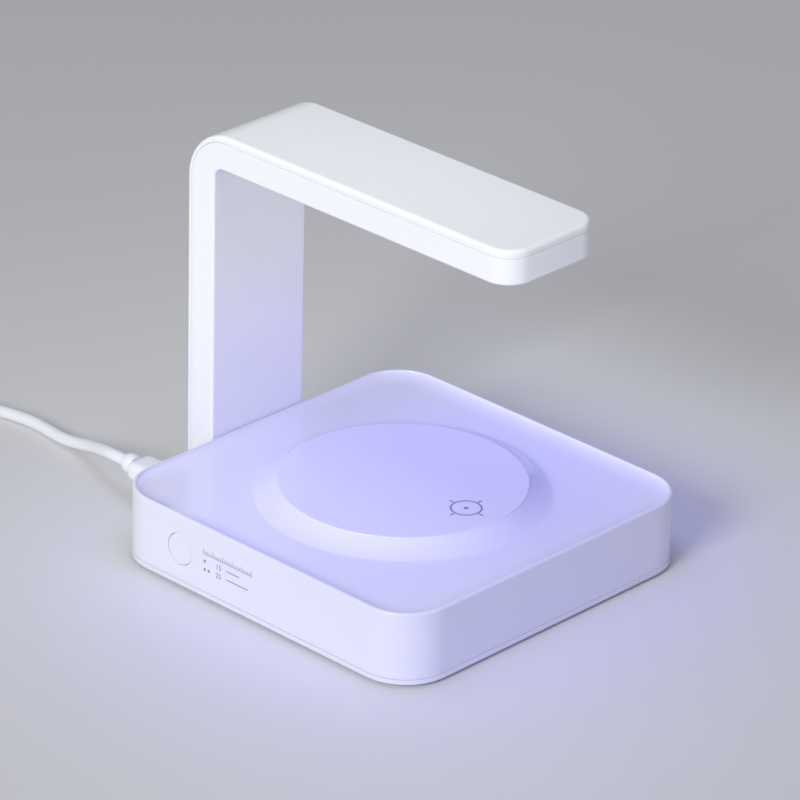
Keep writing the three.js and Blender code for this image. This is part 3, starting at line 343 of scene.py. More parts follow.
# %% Turned pieces
def turned(name, profile, axis, centre, sides, build=stack):
    """A profile of (radius, along) pairs turned round x, y or z through the centre; build joins the rings."""
    radius, along = np.asarray(profile, float).T[:, :, None]
    angle = np.linspace(0, 2 * np.pi, sides, endpoint=False)[None]
    parts = [radius * np.cos(angle), radius * np.sin(angle)]
    parts.insert("xyz".index(axis), along + 0 * angle)
    return build(name, np.stack(parts, axis=2) + centre)


BEAD_FRONT = -85.6
bead_points = [[2.97, 0, 0], [3.3, -1.15, 0], [3.3, -2.3, 0], [3.07, -3.45, 0], [2.5, -4.6, 0]]
bead = smooth_line(bead_points, 5)[:, :2]
plug_bead = turned("plug_bead", bead, "x", [BEAD_FRONT, PORT_Y, PORT_Z], sides=40)
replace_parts(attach(plug_bead, "charging_lead"), "plug_collar")
print(f"bead {np.ptp(bead[:, 1]):.1f} mm long and {2 * bead[:, 0].max():.1f} mm thick")

# %% [markdown]
# ## The far end of the lead
# At the other end is the wide, flat plug that goes into a charger: a longer grip with a narrow neck, and
# a folded metal shell with a plastic tongue inside. Shell and tongue are plain parts whose CAD shapes are
# right, so they are copied, cleaned and given small rounded edges. A soft strap holds the spare turns
# together: a thin band carried round the bundle.

# %% The far grip
FAR_BACK, FAR_LENGTH, FAR_EDGE, NECK_END, SHOULDER_LENGTH = -161.4, 24.0, 0.5, 4.5, 5.5
NECK_SIZE, FAR_SIZE = np.array([6.0, 6.0, 2.7]), np.array([15.6, 8.0, 2.0])
far_steps = [
    (FAR_BACK, 5.4, 5.4, 2.5), (FAR_BACK + 0.3, *NECK_SIZE),
    *[(FAR_BACK + NECK_END + SHOULDER_LENGTH * s, *(NECK_SIZE + (FAR_SIZE - NECK_SIZE) * eased(s)))
      for s in np.linspace(0, 1, 9)],
    *[inset_step(FAR_BACK + FAR_LENGTH - FAR_EDGE + along, FAR_SIZE, inwards)
      for inwards, along in quarter_round(FAR_EDGE, 4)]]
far_grip = loft_along_x("far_grip", far_steps, [far_y, far_z])
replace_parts(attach(far_grip, "charging_lead"), "far_plug_overmould")
print(f"far grip {FAR_LENGTH:.0f} mm long and {FAR_SIZE[0]} mm wide")


# %% Cleaned copies of CAD pieces
FLAT_ANGLE = 0.4


def dressed(node, edge, edge_angle=TRUE_EDGE):
    """A copy of a node with doubles merged and flat faces joined, and a bevel of the edge width in mm."""
    mesh = nodes[node].data.copy()
    work = bmesh.new()
    work.from_mesh(mesh)
    bmesh.ops.remove_doubles(work, verts=work.verts, dist=SAME_PLACE)
    bmesh.ops.dissolve_limit(work, angle_limit=np.radians(FLAT_ANGLE), verts=work.verts, edges=work.edges)
    work.to_mesh(mesh)
    work.free()
    piece = in_scene("fine_" + node, mesh)
    if edge:
        bevel = piece.modifiers.new("edge", "BEVEL")
        bevel.width, bevel.segments, bevel.limit_method = edge * MM, 2, "ANGLE"
        bevel.angle_limit = np.radians(edge_angle)
        bevel.use_clamp_overlap = True
    smooth_shade(mesh, edge_angle)
    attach(piece, nodes[node]["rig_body"])
    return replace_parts(piece, node)


far_shell = dressed("far_plug_shell", edge=0.12)
far_tongue = dressed("far_plug_tongue", edge=0.15)
plug_tip = dressed("plug_tip", edge=0.12)
print("cleaned copies:", far_shell.name, far_tongue.name, plug_tip.name)

# %% The strap round the spare turns
STRAP_THICK, STRAP_EDGE, STRAP_BEND = 0.5, 0.22, 2.25
tie_low, tie_high = drawing_box("lead_tie")
tie_middle, tie_size = (tie_low + tie_high) / 2, tie_high - tie_low
band = rounded_rectangle(tie_size[1] - 0.02, STRAP_THICK, STRAP_EDGE, steps=4)
outlines = [
    rounded_rectangle(*(tie_size[[0, 2]] - STRAP_THICK + 2 * outwards), STRAP_BEND + outwards, steps=12)
    for outwards in band[:, 1]]
strap = loop("coil_strap", np.insert(outlines, 1, band[:, :1], axis=2) + tie_middle)
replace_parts(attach(strap, "charging_lead"), "lead_tie")
print(f"strap {tie_size.round(1).tolist()} mm")

print("cord declared:", cable.name)

# %% [markdown]
# ## The base
# The base is one moulded shell, open below: four upright walls with round corners, a fine rim, then a
# hollow cove that drops into a shallow dish, and in its middle a skirt that rises to the round charging
# disc. A mould makes the whole of it at once, so it has no seams, and here it is one grid. Each ring is a
# rounded square, drawn from an inner square plus an outward step, and the inset shrinks that step.
# Towards the disc the rings turn into circles whose points lie in the same directions.

# %% Rings of the base
HALF, CORNER, DISH_INSET = 64.0, 16.0, 8.6
inner_half, dish_half = HALF - CORNER, HALF - DISH_INSET
side_angle = np.arctan(inner_half / dish_half)
side = dish_half * np.tan(np.linspace(-side_angle, side_angle, 34)[1:-1])
corner_angle = np.linspace(0, np.pi / 2, 19)
quarter_out = np.vstack([
    np.tile([1.0, 0.0], (len(side), 1)), np.stack([np.cos(corner_angle), np.sin(corner_angle)], 1)])
quarter_in = np.vstack([
    np.stack([np.full(len(side), inner_half), side], 1), np.tile([inner_half] * 2, (len(corner_angle), 1))])
turns = [np.linalg.matrix_power(np.array([[0, 1], [-1, 0]]), k) for k in range(4)]
square_in = np.vstack([quarter_in @ turn for turn in turns])
square_out = np.vstack([quarter_out @ turn for turn in turns])


def base_ring(inset, level):
    """A rounded square at a level: inner square plus (corner radius - inset) outwards."""
    return np.insert(square_in + (CORNER - inset) * square_out, 2, level, axis=1)


dish_edge = base_ring(DISH_INSET, 0)[:, :2]
compass = dish_edge / np.linalg.norm(dish_edge, axis=1)[:, None]


def round_ring(radius, level):
    """A circle at a level, with its points in the directions of the rounded square's points."""
    return np.insert(radius * compass, 2, level, axis=1)


print(f"{len(square_in)} points in each ring")

# %% The shell from its outer foot to the disc, and back inside
FOOT_LEVEL, TOP_LEVEL, DISH_LEVEL, DISC_LEVEL = 1.76, 24.0, 22.1, 26.4
WALL, FOOT_ROUND, RIM_ROUND, COVE_INSET, CAVITY_ROUND = 2.0, 0.12, 0.7, 1.1, 1.2
DISC_RADIUS, DISC_EDGE, SKIRT_RADIUS, POCKET_RADIUS = 39.4, 0.4, 47.0, 36.0
cove_width, cove_depth = DISH_INSET - COVE_INSET, TOP_LEVEL - DISH_LEVEL
edge_level, pocket_top, ceiling_level = DISC_LEVEL - DISC_EDGE, DISC_LEVEL - WALL, DISH_LEVEL - WALL
skirt_width, skirt_fall = SKIRT_RADIUS - DISC_RADIUS, edge_level - DISH_LEVEL

wall_steps = [
    (WALL, FOOT_LEVEL), (0.5, FOOT_LEVEL), (FOOT_ROUND, FOOT_LEVEL),
    *(FOOT_ROUND, FOOT_LEVEL) + quarter_round(FOOT_ROUND, 3)[1:, ::-1] * (-1, 1),
    *[(0, level) for level in (2.6, 3.2, 8, 14, 20, 22.4, 22.9)],
    *(0, TOP_LEVEL - RIM_ROUND) + quarter_round(RIM_ROUND, 6),
    *(COVE_INSET, TOP_LEVEL) + quarter_round(1, 16) * (cove_width, -cove_depth)]
dish = [(1 - s) * base_ring(DISH_INSET, DISH_LEVEL) + s * round_ring(SKIRT_RADIUS, DISH_LEVEL)
        for s in np.linspace(0, 1, 9)[1:-1]]
disc_steps = [
    *[(DISC_RADIUS + skirt_width * s, edge_level - skirt_fall * (1.5 * s - 0.5 * s ** 2))
      for s in np.linspace(1, 0, 17)],
    *(DISC_RADIUS, edge_level) + quarter_round(DISC_EDGE, 4)[1:] * (-1, 1),
    *[(radius, DISC_LEVEL) for radius in (38.6, 36, 26, 14, 5)]]
pocket_steps = [
    *[(radius, pocket_top) for radius in (5, 20, POCKET_RADIUS - 0.6)], (POCKET_RADIUS, pocket_top - 0.6),
    (POCKET_RADIUS, ceiling_level + 0.5), (POCKET_RADIUS + 0.5, ceiling_level)]
ceiling = [(1 - s) * round_ring(POCKET_RADIUS + 1, ceiling_level) + s * base_ring(4.4, ceiling_level)
           for s in np.linspace(0, 1, 6)]
cavity_steps = [
    *(WALL + CAVITY_ROUND, ceiling_level) - quarter_round(CAVITY_ROUND, 4)[:, ::-1], (WALL, 12),
    (WALL, FOOT_LEVEL)]
outer_rings = [
    *[base_ring(*step) for step in wall_steps], *dish, *[round_ring(*step) for step in disc_steps]]
inner_rings = [
    *[round_ring(*step) for step in pocket_steps], *ceiling, *[base_ring(*step) for step in cavity_steps]]
poles = [round_ring(0, DISC_LEVEL), round_ring(0, pocket_top)]
shell_grid = np.array([*outer_rings, *poles, *inner_rings])
rows, columns = shell_grid.shape[:2]
shell_faces = grid_faces(rows, columns, close_rows=True)
between_poles = shell_faces[:, 0] // columns == len(outer_rings)
base = finish_mesh("base_moulding", shell_grid, shell_faces[~between_poles])
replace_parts(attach(base, "base"), "base_shell")
print(f"base shell: {rows} rings, {len(base.data.polygons)} faces")

# %% [markdown]
# ## Openings in the walls
# The mould leaves a round hole for the button in the front wall and a small slot for the socket in the
# back wall. Both are cut with a solid that flares at the outside, which gives the opening the fine rounded
# edge of moulded plastic. A boolean suits this: the wall is flat there, so its shading doesn't suffer.

# %% Cut openings
def cut_away(piece, *cutters):
    """The piece less each cutter, as a plain mesh; the cutters are removed afterwards."""
    for cutter in cutters:
        bore = piece.modifiers.new("bore", "BOOLEAN")
        bore.object, bore.operation, bore.solver = cutter, "DIFFERENCE", "EXACT"
    mesh = bpy.data.meshes.new_from_object(piece.evaluated_get(bpy.context.evaluated_depsgraph_get()))
    piece.modifiers.clear()
    piece.data = mesh
    smooth_shade(mesh, TRUE_EDGE)
    for cutter in cutters:
        bpy.data.objects.remove(cutter)


BUTTON_X, BUTTON_Z, BUTTON_HOLE, HOLE_EDGE = -33.1, 12.25, 5.32, 0.15
BORE_END, BORE_MOUTH = -HALF + 3.5, -HALF - 0.6
button_bore = turned("button_bore", [
    (BUTTON_HOLE, BORE_END),
    *(BUTTON_HOLE, -HALF + HOLE_EDGE) + quarter_round(HOLE_EDGE, 3) * (1, -1),
    (BUTTON_HOLE + HOLE_EDGE, BORE_MOUTH)], "y", [BUTTON_X, 0, BUTTON_Z], sides=72)
port_bore = loft_along_x("port_bore", [
    (BORE_END, 9.6, 3.8, 1.85), (-HALF + 0.25, 9.6, 3.8, 1.85), (-HALF + 0.08, 9.7, 3.9, 1.9),
    (-HALF - 0.001, 10.0, 4.2, 2.05), (BORE_MOUTH, 10.0, 4.2, 2.05)], [PORT_Y, PORT_Z])
cut_away(base, button_bore, port_bore)
print(f"base after cutting: {len(base.data.polygons)} faces")

# %% [markdown]
# ## The button
# A round cap fills the hole but for a fine even gap, and sits a hair behind the wall, so that only a thin
# arc of light and one of shade give it away. It is a turned piece, with a rounded edge in front, a flange
# that stops it inside the wall, and a stem that reaches the switch.

# %% Turn the button cap
CAP_RADIUS, CAP_EDGE, CAP_FRONT = 5.2, 0.35, -HALF + 0.1
cap = turned("round_button", [
    (1.5, CAP_FRONT), (4.2, CAP_FRONT),
    *(CAP_RADIUS - CAP_EDGE, CAP_FRONT) + quarter_round(CAP_EDGE, 6)[:, ::-1],
    (CAP_RADIUS, CAP_FRONT + 1.1), (CAP_RADIUS, -61.75), (6.3, -61.7), (6.4, -61.6), (6.4, -60.7),
    (6.3, -60.6), (1.9, -60.6), (1.7, -60.4), (1.7, -58.8), (1.6, -58.7), (0.8, -58.7)],
    "y", [BUTTON_X, 0, BUTTON_Z], sides=72)
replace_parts(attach(cap, "button"), "button_cap")
print("the CAD cap lies between", np.round(drawing_box("button_cap"), 2).tolist())

# %% [markdown]
# ## What the base stands on
# The bottom cover closes the shell and stands 0.25 mm proud of it, which draws the fine line of shade all
# round the foot of the walls. Its ribs and bosses are as the CAD has them, so a cleaned copy with rounded
# edges is enough. The four soft feet are turned pieces with a slightly domed tread.

# %% Cover and feet
cover = dressed("bottom_cover", edge=0.08, edge_angle=28.0)
FOOT_PLACES = {
    "front_left": (-50, -50), "front_right": (50, -50), "rear_left": (-50, 50), "rear_right": (50, 50)}
PAD_RADIUS, PAD_EDGE = 5.0, 0.6
feet = []
for place, (x, y) in FOOT_PLACES.items():
    pad = turned("pad_" + place, [
        (0.6, -0.9), (2.6, -0.9), (3.9, -0.86),
        *(PAD_RADIUS - PAD_EDGE, -0.84) + quarter_round(PAD_EDGE, 5)[:, ::-1],
        (PAD_RADIUS, 0.1), (4.9, 0.28), (4.6, 0.3), (1.0, 0.3)], "z", [x, y, 0], sides=40)
    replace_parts(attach(pad, "base"), "foot_" + place)
    feet.append(pad)
print(len(feet), "feet")

# %% [markdown]
# ## The arm
# The arm is a flat strip, 40.5 mm wide and about 11.4 mm thick, that stands behind the base, turns over at
# an elbow and ends in two round corners. It is made of two mouldings: a body that is open towards the back
# and the top, and a thin cover that closes it with a fine seam, which lies deeper in the head than in the
# column and so rises through the elbow. Both are built from one family of rings. Each ring follows the
# strip's outline, at some depth below the outer face and some inset from the edge. A point of a ring is
# the outer point, plus a share of the way to the inner point, less the inset outwards.

# %% Stations along the arm
BACK, FRONT, TOP, UNDER, END = -75.8, -64.3, 128.6, 117.2, 60.0
HALF_WIDTH, THICK, OUTER_ELBOW, INNER_ELBOW, HEAD_CORNER = 20.25, 11.4, 17.2, 3.6, 8.7
COLUMN_TOP, INNER_TOP = 110.6, 113.0
bend = np.linspace(0, np.pi / 2, 33)
head_turn = np.linspace(0, np.pi / 2, 17)
column = np.array([0, 4, 12, 40, 70, 100, COLUMN_TOP])
inner_column = column * INNER_TOP / COLUMN_TOP
inner_column[:2] = column[:2]
head = np.array([-56.5, -48, -20, 10, 40, 50.8])
along_head = np.append(head, END - HEAD_CORNER + HEAD_CORNER * np.sin(head_turn))


def face_line(x, z, radius, heights):
    """A face of the strip as x and z: up the column, a quarter circle at the elbow, then along the head."""
    return np.vstack([
        np.column_stack([np.full(len(heights), x), heights]),
        np.column_stack([x + radius * (1 - np.cos(bend)), z + radius * (np.sin(bend) - 1)]),
        np.column_stack([along_head, np.full(len(along_head), z)])])


outer_line = face_line(BACK, TOP, OUTER_ELBOW, column)
inner_line = face_line(FRONT, UNDER, INNER_ELBOW, inner_column)
straight = len(outer_line) - len(head_turn)
turned_in = np.append(np.zeros(straight), head_turn)
half_width = HALF_WIDTH - HEAD_CORNER * (1 - np.cos(turned_in))
step_in = np.column_stack([np.sin(turned_in), np.cos(turned_in), np.zeros(len(turned_in))])
step_in[0, 2] = -1


def arm_ring(inset, depth):
    """Outer line plus depth share of the way to the inner line, less the inset outwards, on both sides."""
    share = np.broadcast_to(depth, len(outer_line))[:, None] / THICK
    line = outer_line + (inner_line - outer_line) * share
    one_side = np.column_stack([line[:, 0], half_width, line[:, 1]]) - inset * step_in
    return np.vstack([one_side, one_side[::-1] * [1, -1, 1]])


print(f"{len(outer_line)} stations along the arm")


# %% Bodies from rings of the arm
def arm_body_from(name, steps):
    """A closed body through (inset, depth) rings, with rungs straight across its first and last ring."""
    grid = np.array([arm_ring(*step) for step in steps])
    rows, columns = grid.shape[:2]
    faces = np.vstack([
        grid_faces(rows, columns), ladder_faces(columns, 0), ladder_faces(columns, (rows - 1) * columns)])
    return finish_mesh(name, grid, faces)


SEAM_COLUMN, SEAM_ELBOW, SEAM_HEAD, SEAM_GAP, SEAM_EDGE = 1.5, 2.3, 2.7, 0.08, 0.14
ARM_WALL, INNER_EDGE, OUTER_EDGE = 1.8, 0.9, 1.4
SEAM = np.concatenate([
    np.full(len(column), SEAM_COLUMN), np.linspace(SEAM_COLUMN, SEAM_ELBOW, len(bend)),
    np.linspace(SEAM_ELBOW, SEAM_HEAD, len(head)), np.full(len(head_turn), SEAM_HEAD)])
seam_share = SEAM / SEAM_HEAD
body_lip, cover_lip = SEAM + SEAM_GAP / 2, SEAM - SEAM_GAP / 2
seam_edge = quarter_round(SEAM_EDGE, 3)
arm_steps = [
    (ARM_WALL + 0.1, 9.6), *[(ARM_WALL, depth) for depth in (9.4, 4.9, 3.1)],
    *[(inset, body_lip) for inset in (ARM_WALL, 0.7, 0.3)],
    *[(SEAM_EDGE - along, body_lip + inwards) for inwards, along in seam_edge],
    *[(0, depth) for depth in (3.6, 7, 10.0, 10.4)],
    *[(inwards, THICK - INNER_EDGE + along) for inwards, along in quarter_round(INNER_EDGE, 7)],
    (1.2, THICK), (2.4, THICK)]
arm = arm_body_from("arm_moulding", arm_steps)
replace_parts(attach(arm, "base"), "arm_body")

cover_steps = [
    (3.4, 1.7), (3.2, 1.9), (3.2, 4.7), (3.1, 4.85), (2.2, 4.85), (2.1, 4.75), (2.1, 2.9),
    *[(inset, cover_lip) for inset in (2.1, 0.8, 0.3)],
    *[(SEAM_EDGE - along, cover_lip - inwards) for inwards, along in seam_edge],
    (0, 1.95 * seam_share), (0, 1.6 * seam_share),
    *[(inwards, (OUTER_EDGE - along) * seam_share) for inwards, along in quarter_round(OUTER_EDGE, 9)],
    (1.8, 0), (3.0, 0)]
arm_lid = arm_body_from("arm_lid", cover_steps)
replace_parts(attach(arm_lid, "base"), "arm_cover")
print(f"arm: {len(arm.data.polygons)} and {len(arm_lid.data.polygons)} faces")

# %% [markdown]
# ## The lamp under the head
# Six small emitters stand in a row behind a clear window. The window is a long plate with round ends, let
# into an opening in the underside of the head, with a flange inside that holds it. Each emitter is a gold
# block with a clear dome. Only someone who looks up from below sees them, but that is how one checks them.

# %% Open the head and fit the window
END_CENTRE, OPENING_RADIUS = 34.0, 8.0


def opening_ring(grow, level):
    """The opening's outline, grown all round: a rounded rectangle whose corners are half its height."""
    radius = OPENING_RADIUS + grow
    return np.insert(rounded_rectangle(2 * (END_CENTRE + radius), 2 * radius, radius, 8), 2, level, axis=1)


bore_steps = [(0.3, UNDER - 0.6), (0.3, UNDER), (0.08, UNDER + 0.22), (0, UNDER + 0.4), (0, 120.4)]
cut_away(arm, stack("window_bore", [opening_ring(*step) for step in bore_steps]))
pane_steps = [
    *(-0.6, 117.6) + quarter_round(0.3, 4)[:, ::-1],
    (-0.3, 119.25), (1.5, 119.3), (1.6, 119.4), (1.6, 120.2), (1.5, 120.3), (-1, 120.3)]
window = stack("window_pane", [opening_ring(*step) for step in pane_steps])
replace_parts(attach(window, "base"), "uv_window")
print("the CAD window lies between", np.round(drawing_box("uv_window"), 2).tolist())

# %% Emitters with clear domes
EMITTER_PITCH, BLOCK_SIZE, DOME_RADIUS, DOME_DEPTH, DOME_LEVEL = 13.5, 3.5, 0.9, 0.43, 121.05
blocks, domes = [], []
for number in range(1, 7):
    x = (number - 3.5) * EMITTER_PITCH
    block_rings = [
        np.insert(rounded_rectangle(BLOCK_SIZE - s, BLOCK_SIZE - s, 0.35 - s / 2, 3) + [x, 0], 2, z, axis=1)
        for s, z in ((0.1, 121.1), (0, 121.15), (0, 121.85), (0.1, 121.9))]
    blocks.append(stack(f"emitter_block_{number}", block_rings))
    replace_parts(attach(blocks[-1], "base"), f"uv_emitter_{number}")
    dome_profile = [
        (DOME_RADIUS, DOME_LEVEL + 0.04),
        *(DOME_RADIUS, DOME_LEVEL) - quarter_round(1, 5)[:-1] * (DOME_RADIUS, DOME_DEPTH)]
    domes.append(turned(f"emitter_dome_{number}", dome_profile, "z", [x, 0, 0], sides=24))
    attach(domes[-1], "base")
print(len(blocks), "emitters")

# %% [markdown]
# ## Parts inside
# The boards, the coil, the switch and the screws are hidden once the covers are on, but they show when the
# lamp is taken apart. Their CAD shapes are right, so each is copied, cleaned and given slight edges. Only
# the wound coil is made anew, because a spiral of wire wants more points than its CAD stand-in has.

# %% Clean the inner parts
EDGES = {
    "switch_body": 0.15, "switch_plunger": 0.1, "switch_board": 0.05, "main_board": 0.05,
    "socket_shell": 0.05, "socket_tongue": 0.08, "controller_chip": 0.1, "power_inductor": 0.4,
    "capacitor_1": 0.35, "capacitor_2": 0.35, "lamp_connector": 0.2, "coil_carrier": 0.15,
    "ferrite_plate": 0.12, "lamp_board": 0.06, "lamp_harness": 0.0,
}
SCREW_EDGE = 0.06
screw_names = sorted(name for name in nodes if "screw" in name)
inner = {name: dressed(name, edge) for name, edge in EDGES.items()}
inner.update({name: dressed(name, SCREW_EDGE) for name in screw_names})
print(len(inner), "inner parts,", len(screw_names), "of them screws")

# %% Wind the charging coil
coil_low, coil_high = drawing_box("charging_coil")
CHARGE_TURNS, CHARGE_INNER, CHARGE_PITCH, CHARGE_WIRE, CHARGE_STEPS = 9, 10.4, 1.55, 0.5, 60
wound = np.linspace(0, CHARGE_TURNS, CHARGE_TURNS * CHARGE_STEPS + 1)
wound_radius, wound_angle = CHARGE_INNER + CHARGE_PITCH * wound, 2 * np.pi * wound
wound_line = np.column_stack([
    wound_radius * np.cos(wound_angle), wound_radius * np.sin(wound_angle),
    np.full(len(wound), (coil_low[2] + coil_high[2]) / 2)])
charging_coil = tube("flat_coil", wound_line, CHARGE_WIRE, sides=10)
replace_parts(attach(charging_coil, "base"), "charging_coil")
print("coil box", coil_low.round(2), coil_high.round(2))

# %% [markdown]
# ## Printed marks
# The front wall has small grey marks beside the button: a scale of ticks, then one dot, 15 and a short
# bar, and two dots, 25 and a longer bar. The disc has a thin ring with four ticks and a dot, which shows
# where to lay a device. Pad print is a film of ink, so each mark is a very thin solid on the moulding.

# %% Print on the front wall
PRINT_FACE, INK, INK_ROOT = -HALF - 0.03, 0.012, 0.02


def printed_number(text, x, z, height):
    """Type as a mesh, scaled to a height and set upright on the front wall: across is x and up is z."""
    curve = bpy.data.curves.new("mark_" + text, "FONT")
    curve.body, curve.extrude, curve.resolution_u = text, INK, 3
    letters = in_scene("mark_" + text, curve)
    mesh = bpy.data.meshes.new_from_object(letters.evaluated_get(bpy.context.evaluated_depsgraph_get()))
    bpy.data.objects.remove(letters)
    points = np.empty(len(mesh.vertices) * 3)
    mesh.vertices.foreach_get("co", points)
    points = points.reshape(-1, 3)
    scale = height / np.ptp(points[:, 1])
    points = np.column_stack([points[:, 0] * scale + x, PRINT_FACE - points[:, 2], points[:, 1] * scale + z])
    mesh.vertices.foreach_set("co", in_frame(points).ravel())
    mesh.update()
    return in_scene("mark_" + text, mesh)


def printed_dot(name, x, z, radius):
    """A disc of ink on the front wall."""
    profile = [(radius, INK_ROOT), (radius, -0.01), (radius * 0.9, -INK)]
    return turned(name, profile, "y", [x, PRINT_FACE, z], sides=32)


def printed_bars(name, bars):
    """Thin boxes of ink on the front wall, each from its least and greatest x and z, as one mesh."""
    bars = np.asarray(bars, float)
    corner_x, corner_z = bars[:, [0, 1, 1, 0, 0, 1, 1, 0]], bars[:, [2, 2, 3, 3, 2, 2, 3, 3]]
    corner_y = np.broadcast_to(PRINT_FACE + np.repeat([-INK, INK_ROOT], 4), corner_x.shape)
    points = np.stack([corner_x, corner_y, corner_z], axis=2).reshape(-1, 3)
    box = np.array([[0, 1, 2, 3], [7, 6, 5, 4], [0, 4, 5, 1], [1, 5, 6, 2], [2, 6, 7, 3], [3, 7, 4, 0]])
    faces = (box[None] + 8 * np.arange(len(bars))[:, None, None]).reshape(-1, 4)
    return finish_mesh(name, points, faces)


TICKS, TICK_START, TICK_STEP, TICK_HALF, TICK_FOOT = 26, -22.6, 0.84, 0.09, 15.05
tick_x = TICK_START + TICK_STEP * np.arange(TICKS)
tick_top = np.where(np.arange(TICKS) % 5 == 0, 16.6, 15.9)
scale_bars = np.column_stack([tick_x - TICK_HALF, tick_x + TICK_HALF, np.full(TICKS, TICK_FOOT), tick_top])
marks = [
    printed_bars("mark_scale", np.vstack([scale_bars, [[-22.69, -1.51, 14.8, 14.98]]])),
    printed_bars("mark_times", [[-12.6, -7.0, 12.3, 12.62], [-12.6, -3.2, 9.4, 9.72]]),
    printed_number("15", -17.2, 11.6, 1.75), printed_number("25", -17.2, 8.7, 1.75),
    printed_dot("mark_dot_1", -22.0, 12.45, 0.5),
    printed_dot("mark_dot_2", -22.0, 9.55, 0.5), printed_dot("mark_dot_3", -20.2, 9.55, 0.5)]
print(len(marks), "marks on the wall")

# %% Print on the disc
MARK_X, MARK_LEVEL = 27.0, DISC_LEVEL + 0.02
RING_RADIUS, TICK_MIDDLE, TICK_LENGTH, MARK_STROKE = 4.8, 6.2, 1.9, 0.6
ring_section = rounded_rectangle(MARK_STROKE, 2 * INK, 0.011, steps=2) + [RING_RADIUS, 0]
marks.append(turned("mark_ring", ring_section, "z", [MARK_X, 0, MARK_LEVEL], sides=96, build=loop))
tick = rounded_rectangle(TICK_LENGTH, MARK_STROKE, 0.25, steps=3)
for number, (x, y) in enumerate([(1, 0), (0, 1), (-1, 0), (0, -1)]):
    outline = np.column_stack([
        MARK_X + TICK_MIDDLE * x + tick[:, 0] * x - tick[:, 1] * y,
        TICK_MIDDLE * y + tick[:, 0] * y + tick[:, 1] * x])
    rings = [np.insert(outline, 2, MARK_LEVEL + z, axis=1) for z in (-INK, INK)]
    marks.append(stack(f"mark_tick_{number + 1}", rings))
centre_steps = [(0.8, -INK), (0.8, 0.01), (0.75, INK)]
marks.append(turned("mark_centre", centre_steps, "z", [MARK_X, 0, MARK_LEVEL], sides=24))
for mark in marks:
    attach(mark, "base")
print(len(marks), "marks in all")

# %% [markdown]
# ## Effects that several finishes share
# A moulding is never perfectly even: its surface has a very fine grain, it dips a little where ribs shrank
# behind it, and handling leaves faint marks. Such effects are node groups, built once and placed by each
# finish with its own scale. A group gives out only values, one mask each for tone, gloss and relief, and
# the shader stays in the material. All patterns read Object coordinates, so they are fixed to the piece
# at its real size.

# %% Build a node group
def new_group(name, inputs):
    """An empty group with float inputs (name: default) and the three masks as outputs, and its end nodes."""
    group = bpy.data.node_groups.new(name, "ShaderNodeTree")
    for key, value in inputs.items():
        socket = group.interface.new_socket(key, in_out="INPUT", socket_type="NodeSocketFloat")
        socket.default_value = value
    for key in ("Tone", "Gloss", "Relief"):
        group.interface.new_socket(key, in_out="OUTPUT", socket_type="NodeSocketFloat")
    return group, group.nodes.new("NodeGroupInput"), group.nodes.new("NodeGroupOutput")


def fill_sockets(tree, node, **sockets):
    """A plain value on each named socket of a node, or a link where the value is another node's output."""
    for key, value in sockets.items():
        target = node.inputs[key.replace("_", " ")]
        if isinstance(value, bpy.types.NodeSocket):
            tree.links.new(value, target)
        else:
            target.default_value = value


def add_node(tree, kind, settings=None, **sockets):
    """A node of a kind, with settings on the node and with values or links on its sockets."""
    node = tree.nodes.new("ShaderNode" + kind)
    for key, value in (settings or {}).items():
        setattr(node, key, value)
    fill_sockets(tree, node, **sockets)
    return node


MIX_FACTOR, MIX_FIRST, MIX_SECOND, MIX_RESULT = 0, 6, 7, 2


def two_tones(tree, mask, first, second):
    """The first colour where the mask is 0 and the second where it is 1; a Mix node's sockets by number."""
    node = add_node(tree, "Mix", {"data_type": "RGBA"})
    tree.links.new(mask, node.inputs[MIX_FACTOR])
    node.inputs[MIX_FIRST].default_value = (*first, 1.0)
    node.inputs[MIX_SECOND].default_value = (*second, 1.0)
    return node.outputs[MIX_RESULT]


# %% Moulded surface: fine grain and slow unevenness
moulded, given, taken = new_group("moulded_surface", {"Grain Scale": 2600.0, "Sink Scale": 38.0})
where = add_node(moulded, "TexCoord").outputs["Object"]
grain = add_node(moulded, "TexNoise", Vector=where, Scale=given.outputs["Grain Scale"], Detail=2.0)
sink = add_node(moulded, "TexNoise", Vector=where, Scale=given.outputs["Sink Scale"], Detail=1.0)
touch = add_node(moulded, "TexNoise", Vector=where, Scale=70.0, Detail=3.0, Roughness=0.6, Distortion=0.6)
handling = add_node(moulded, "MapRange", Value=touch.outputs[0], From_Min=0.5, From_Max=0.75)
fill_sockets(moulded, taken, Tone=sink.outputs[0], Gloss=handling.outputs[0], Relief=grain.outputs[0])
print(moulded.name, "has", len(moulded.nodes), "nodes")

# %% Brushed streaks and tarnish, for metal
brushed, given, taken = new_group("brushed_metal", {"Streak Scale": 900.0})
where = add_node(brushed, "TexCoord").outputs["Object"]
stretched = add_node(brushed, "Mapping", Vector=where, Scale=(0.06, 1.0, 1.0))
streak = add_node(
    brushed, "TexNoise", Vector=stretched.outputs[0], Scale=given.outputs["Streak Scale"], Detail=3.0)
tarnish = add_node(brushed, "TexNoise", Vector=where, Scale=240.0, Detail=3.0)
fill_sockets(brushed, taken, Tone=tarnish.outputs[0], Gloss=streak.outputs[0], Relief=streak.outputs[0])
print(brushed.name, "has", len(brushed.nodes), "nodes")


# %% [markdown]
# ## Finishes
# The housing is glossy white ABS: a pale, slightly cool white with an even gloss that shows soft
# reflections, as of the column in the dish. The base and its button get a darker, bluer copy of the arm's
# white: painted shade and painted violet lamp light, as the base is lit less and lies under the lamp. The
# cable is the same white but softer and less glossy, and the feet are pale grey rubber. Inside are the usual
# colours of electronics. Each finish sets its plain numbers on the shader's own sockets, and only what varies
# over the surface comes through nodes.

# %% A finish from the shared effects
def new_material(name):
    """A material with its node tree and its Principled shader."""
    finish = bpy.data.materials.new(name)
    finish.use_nodes = True
    return finish, finish.node_tree, finish.node_tree.nodes["Principled BSDF"]


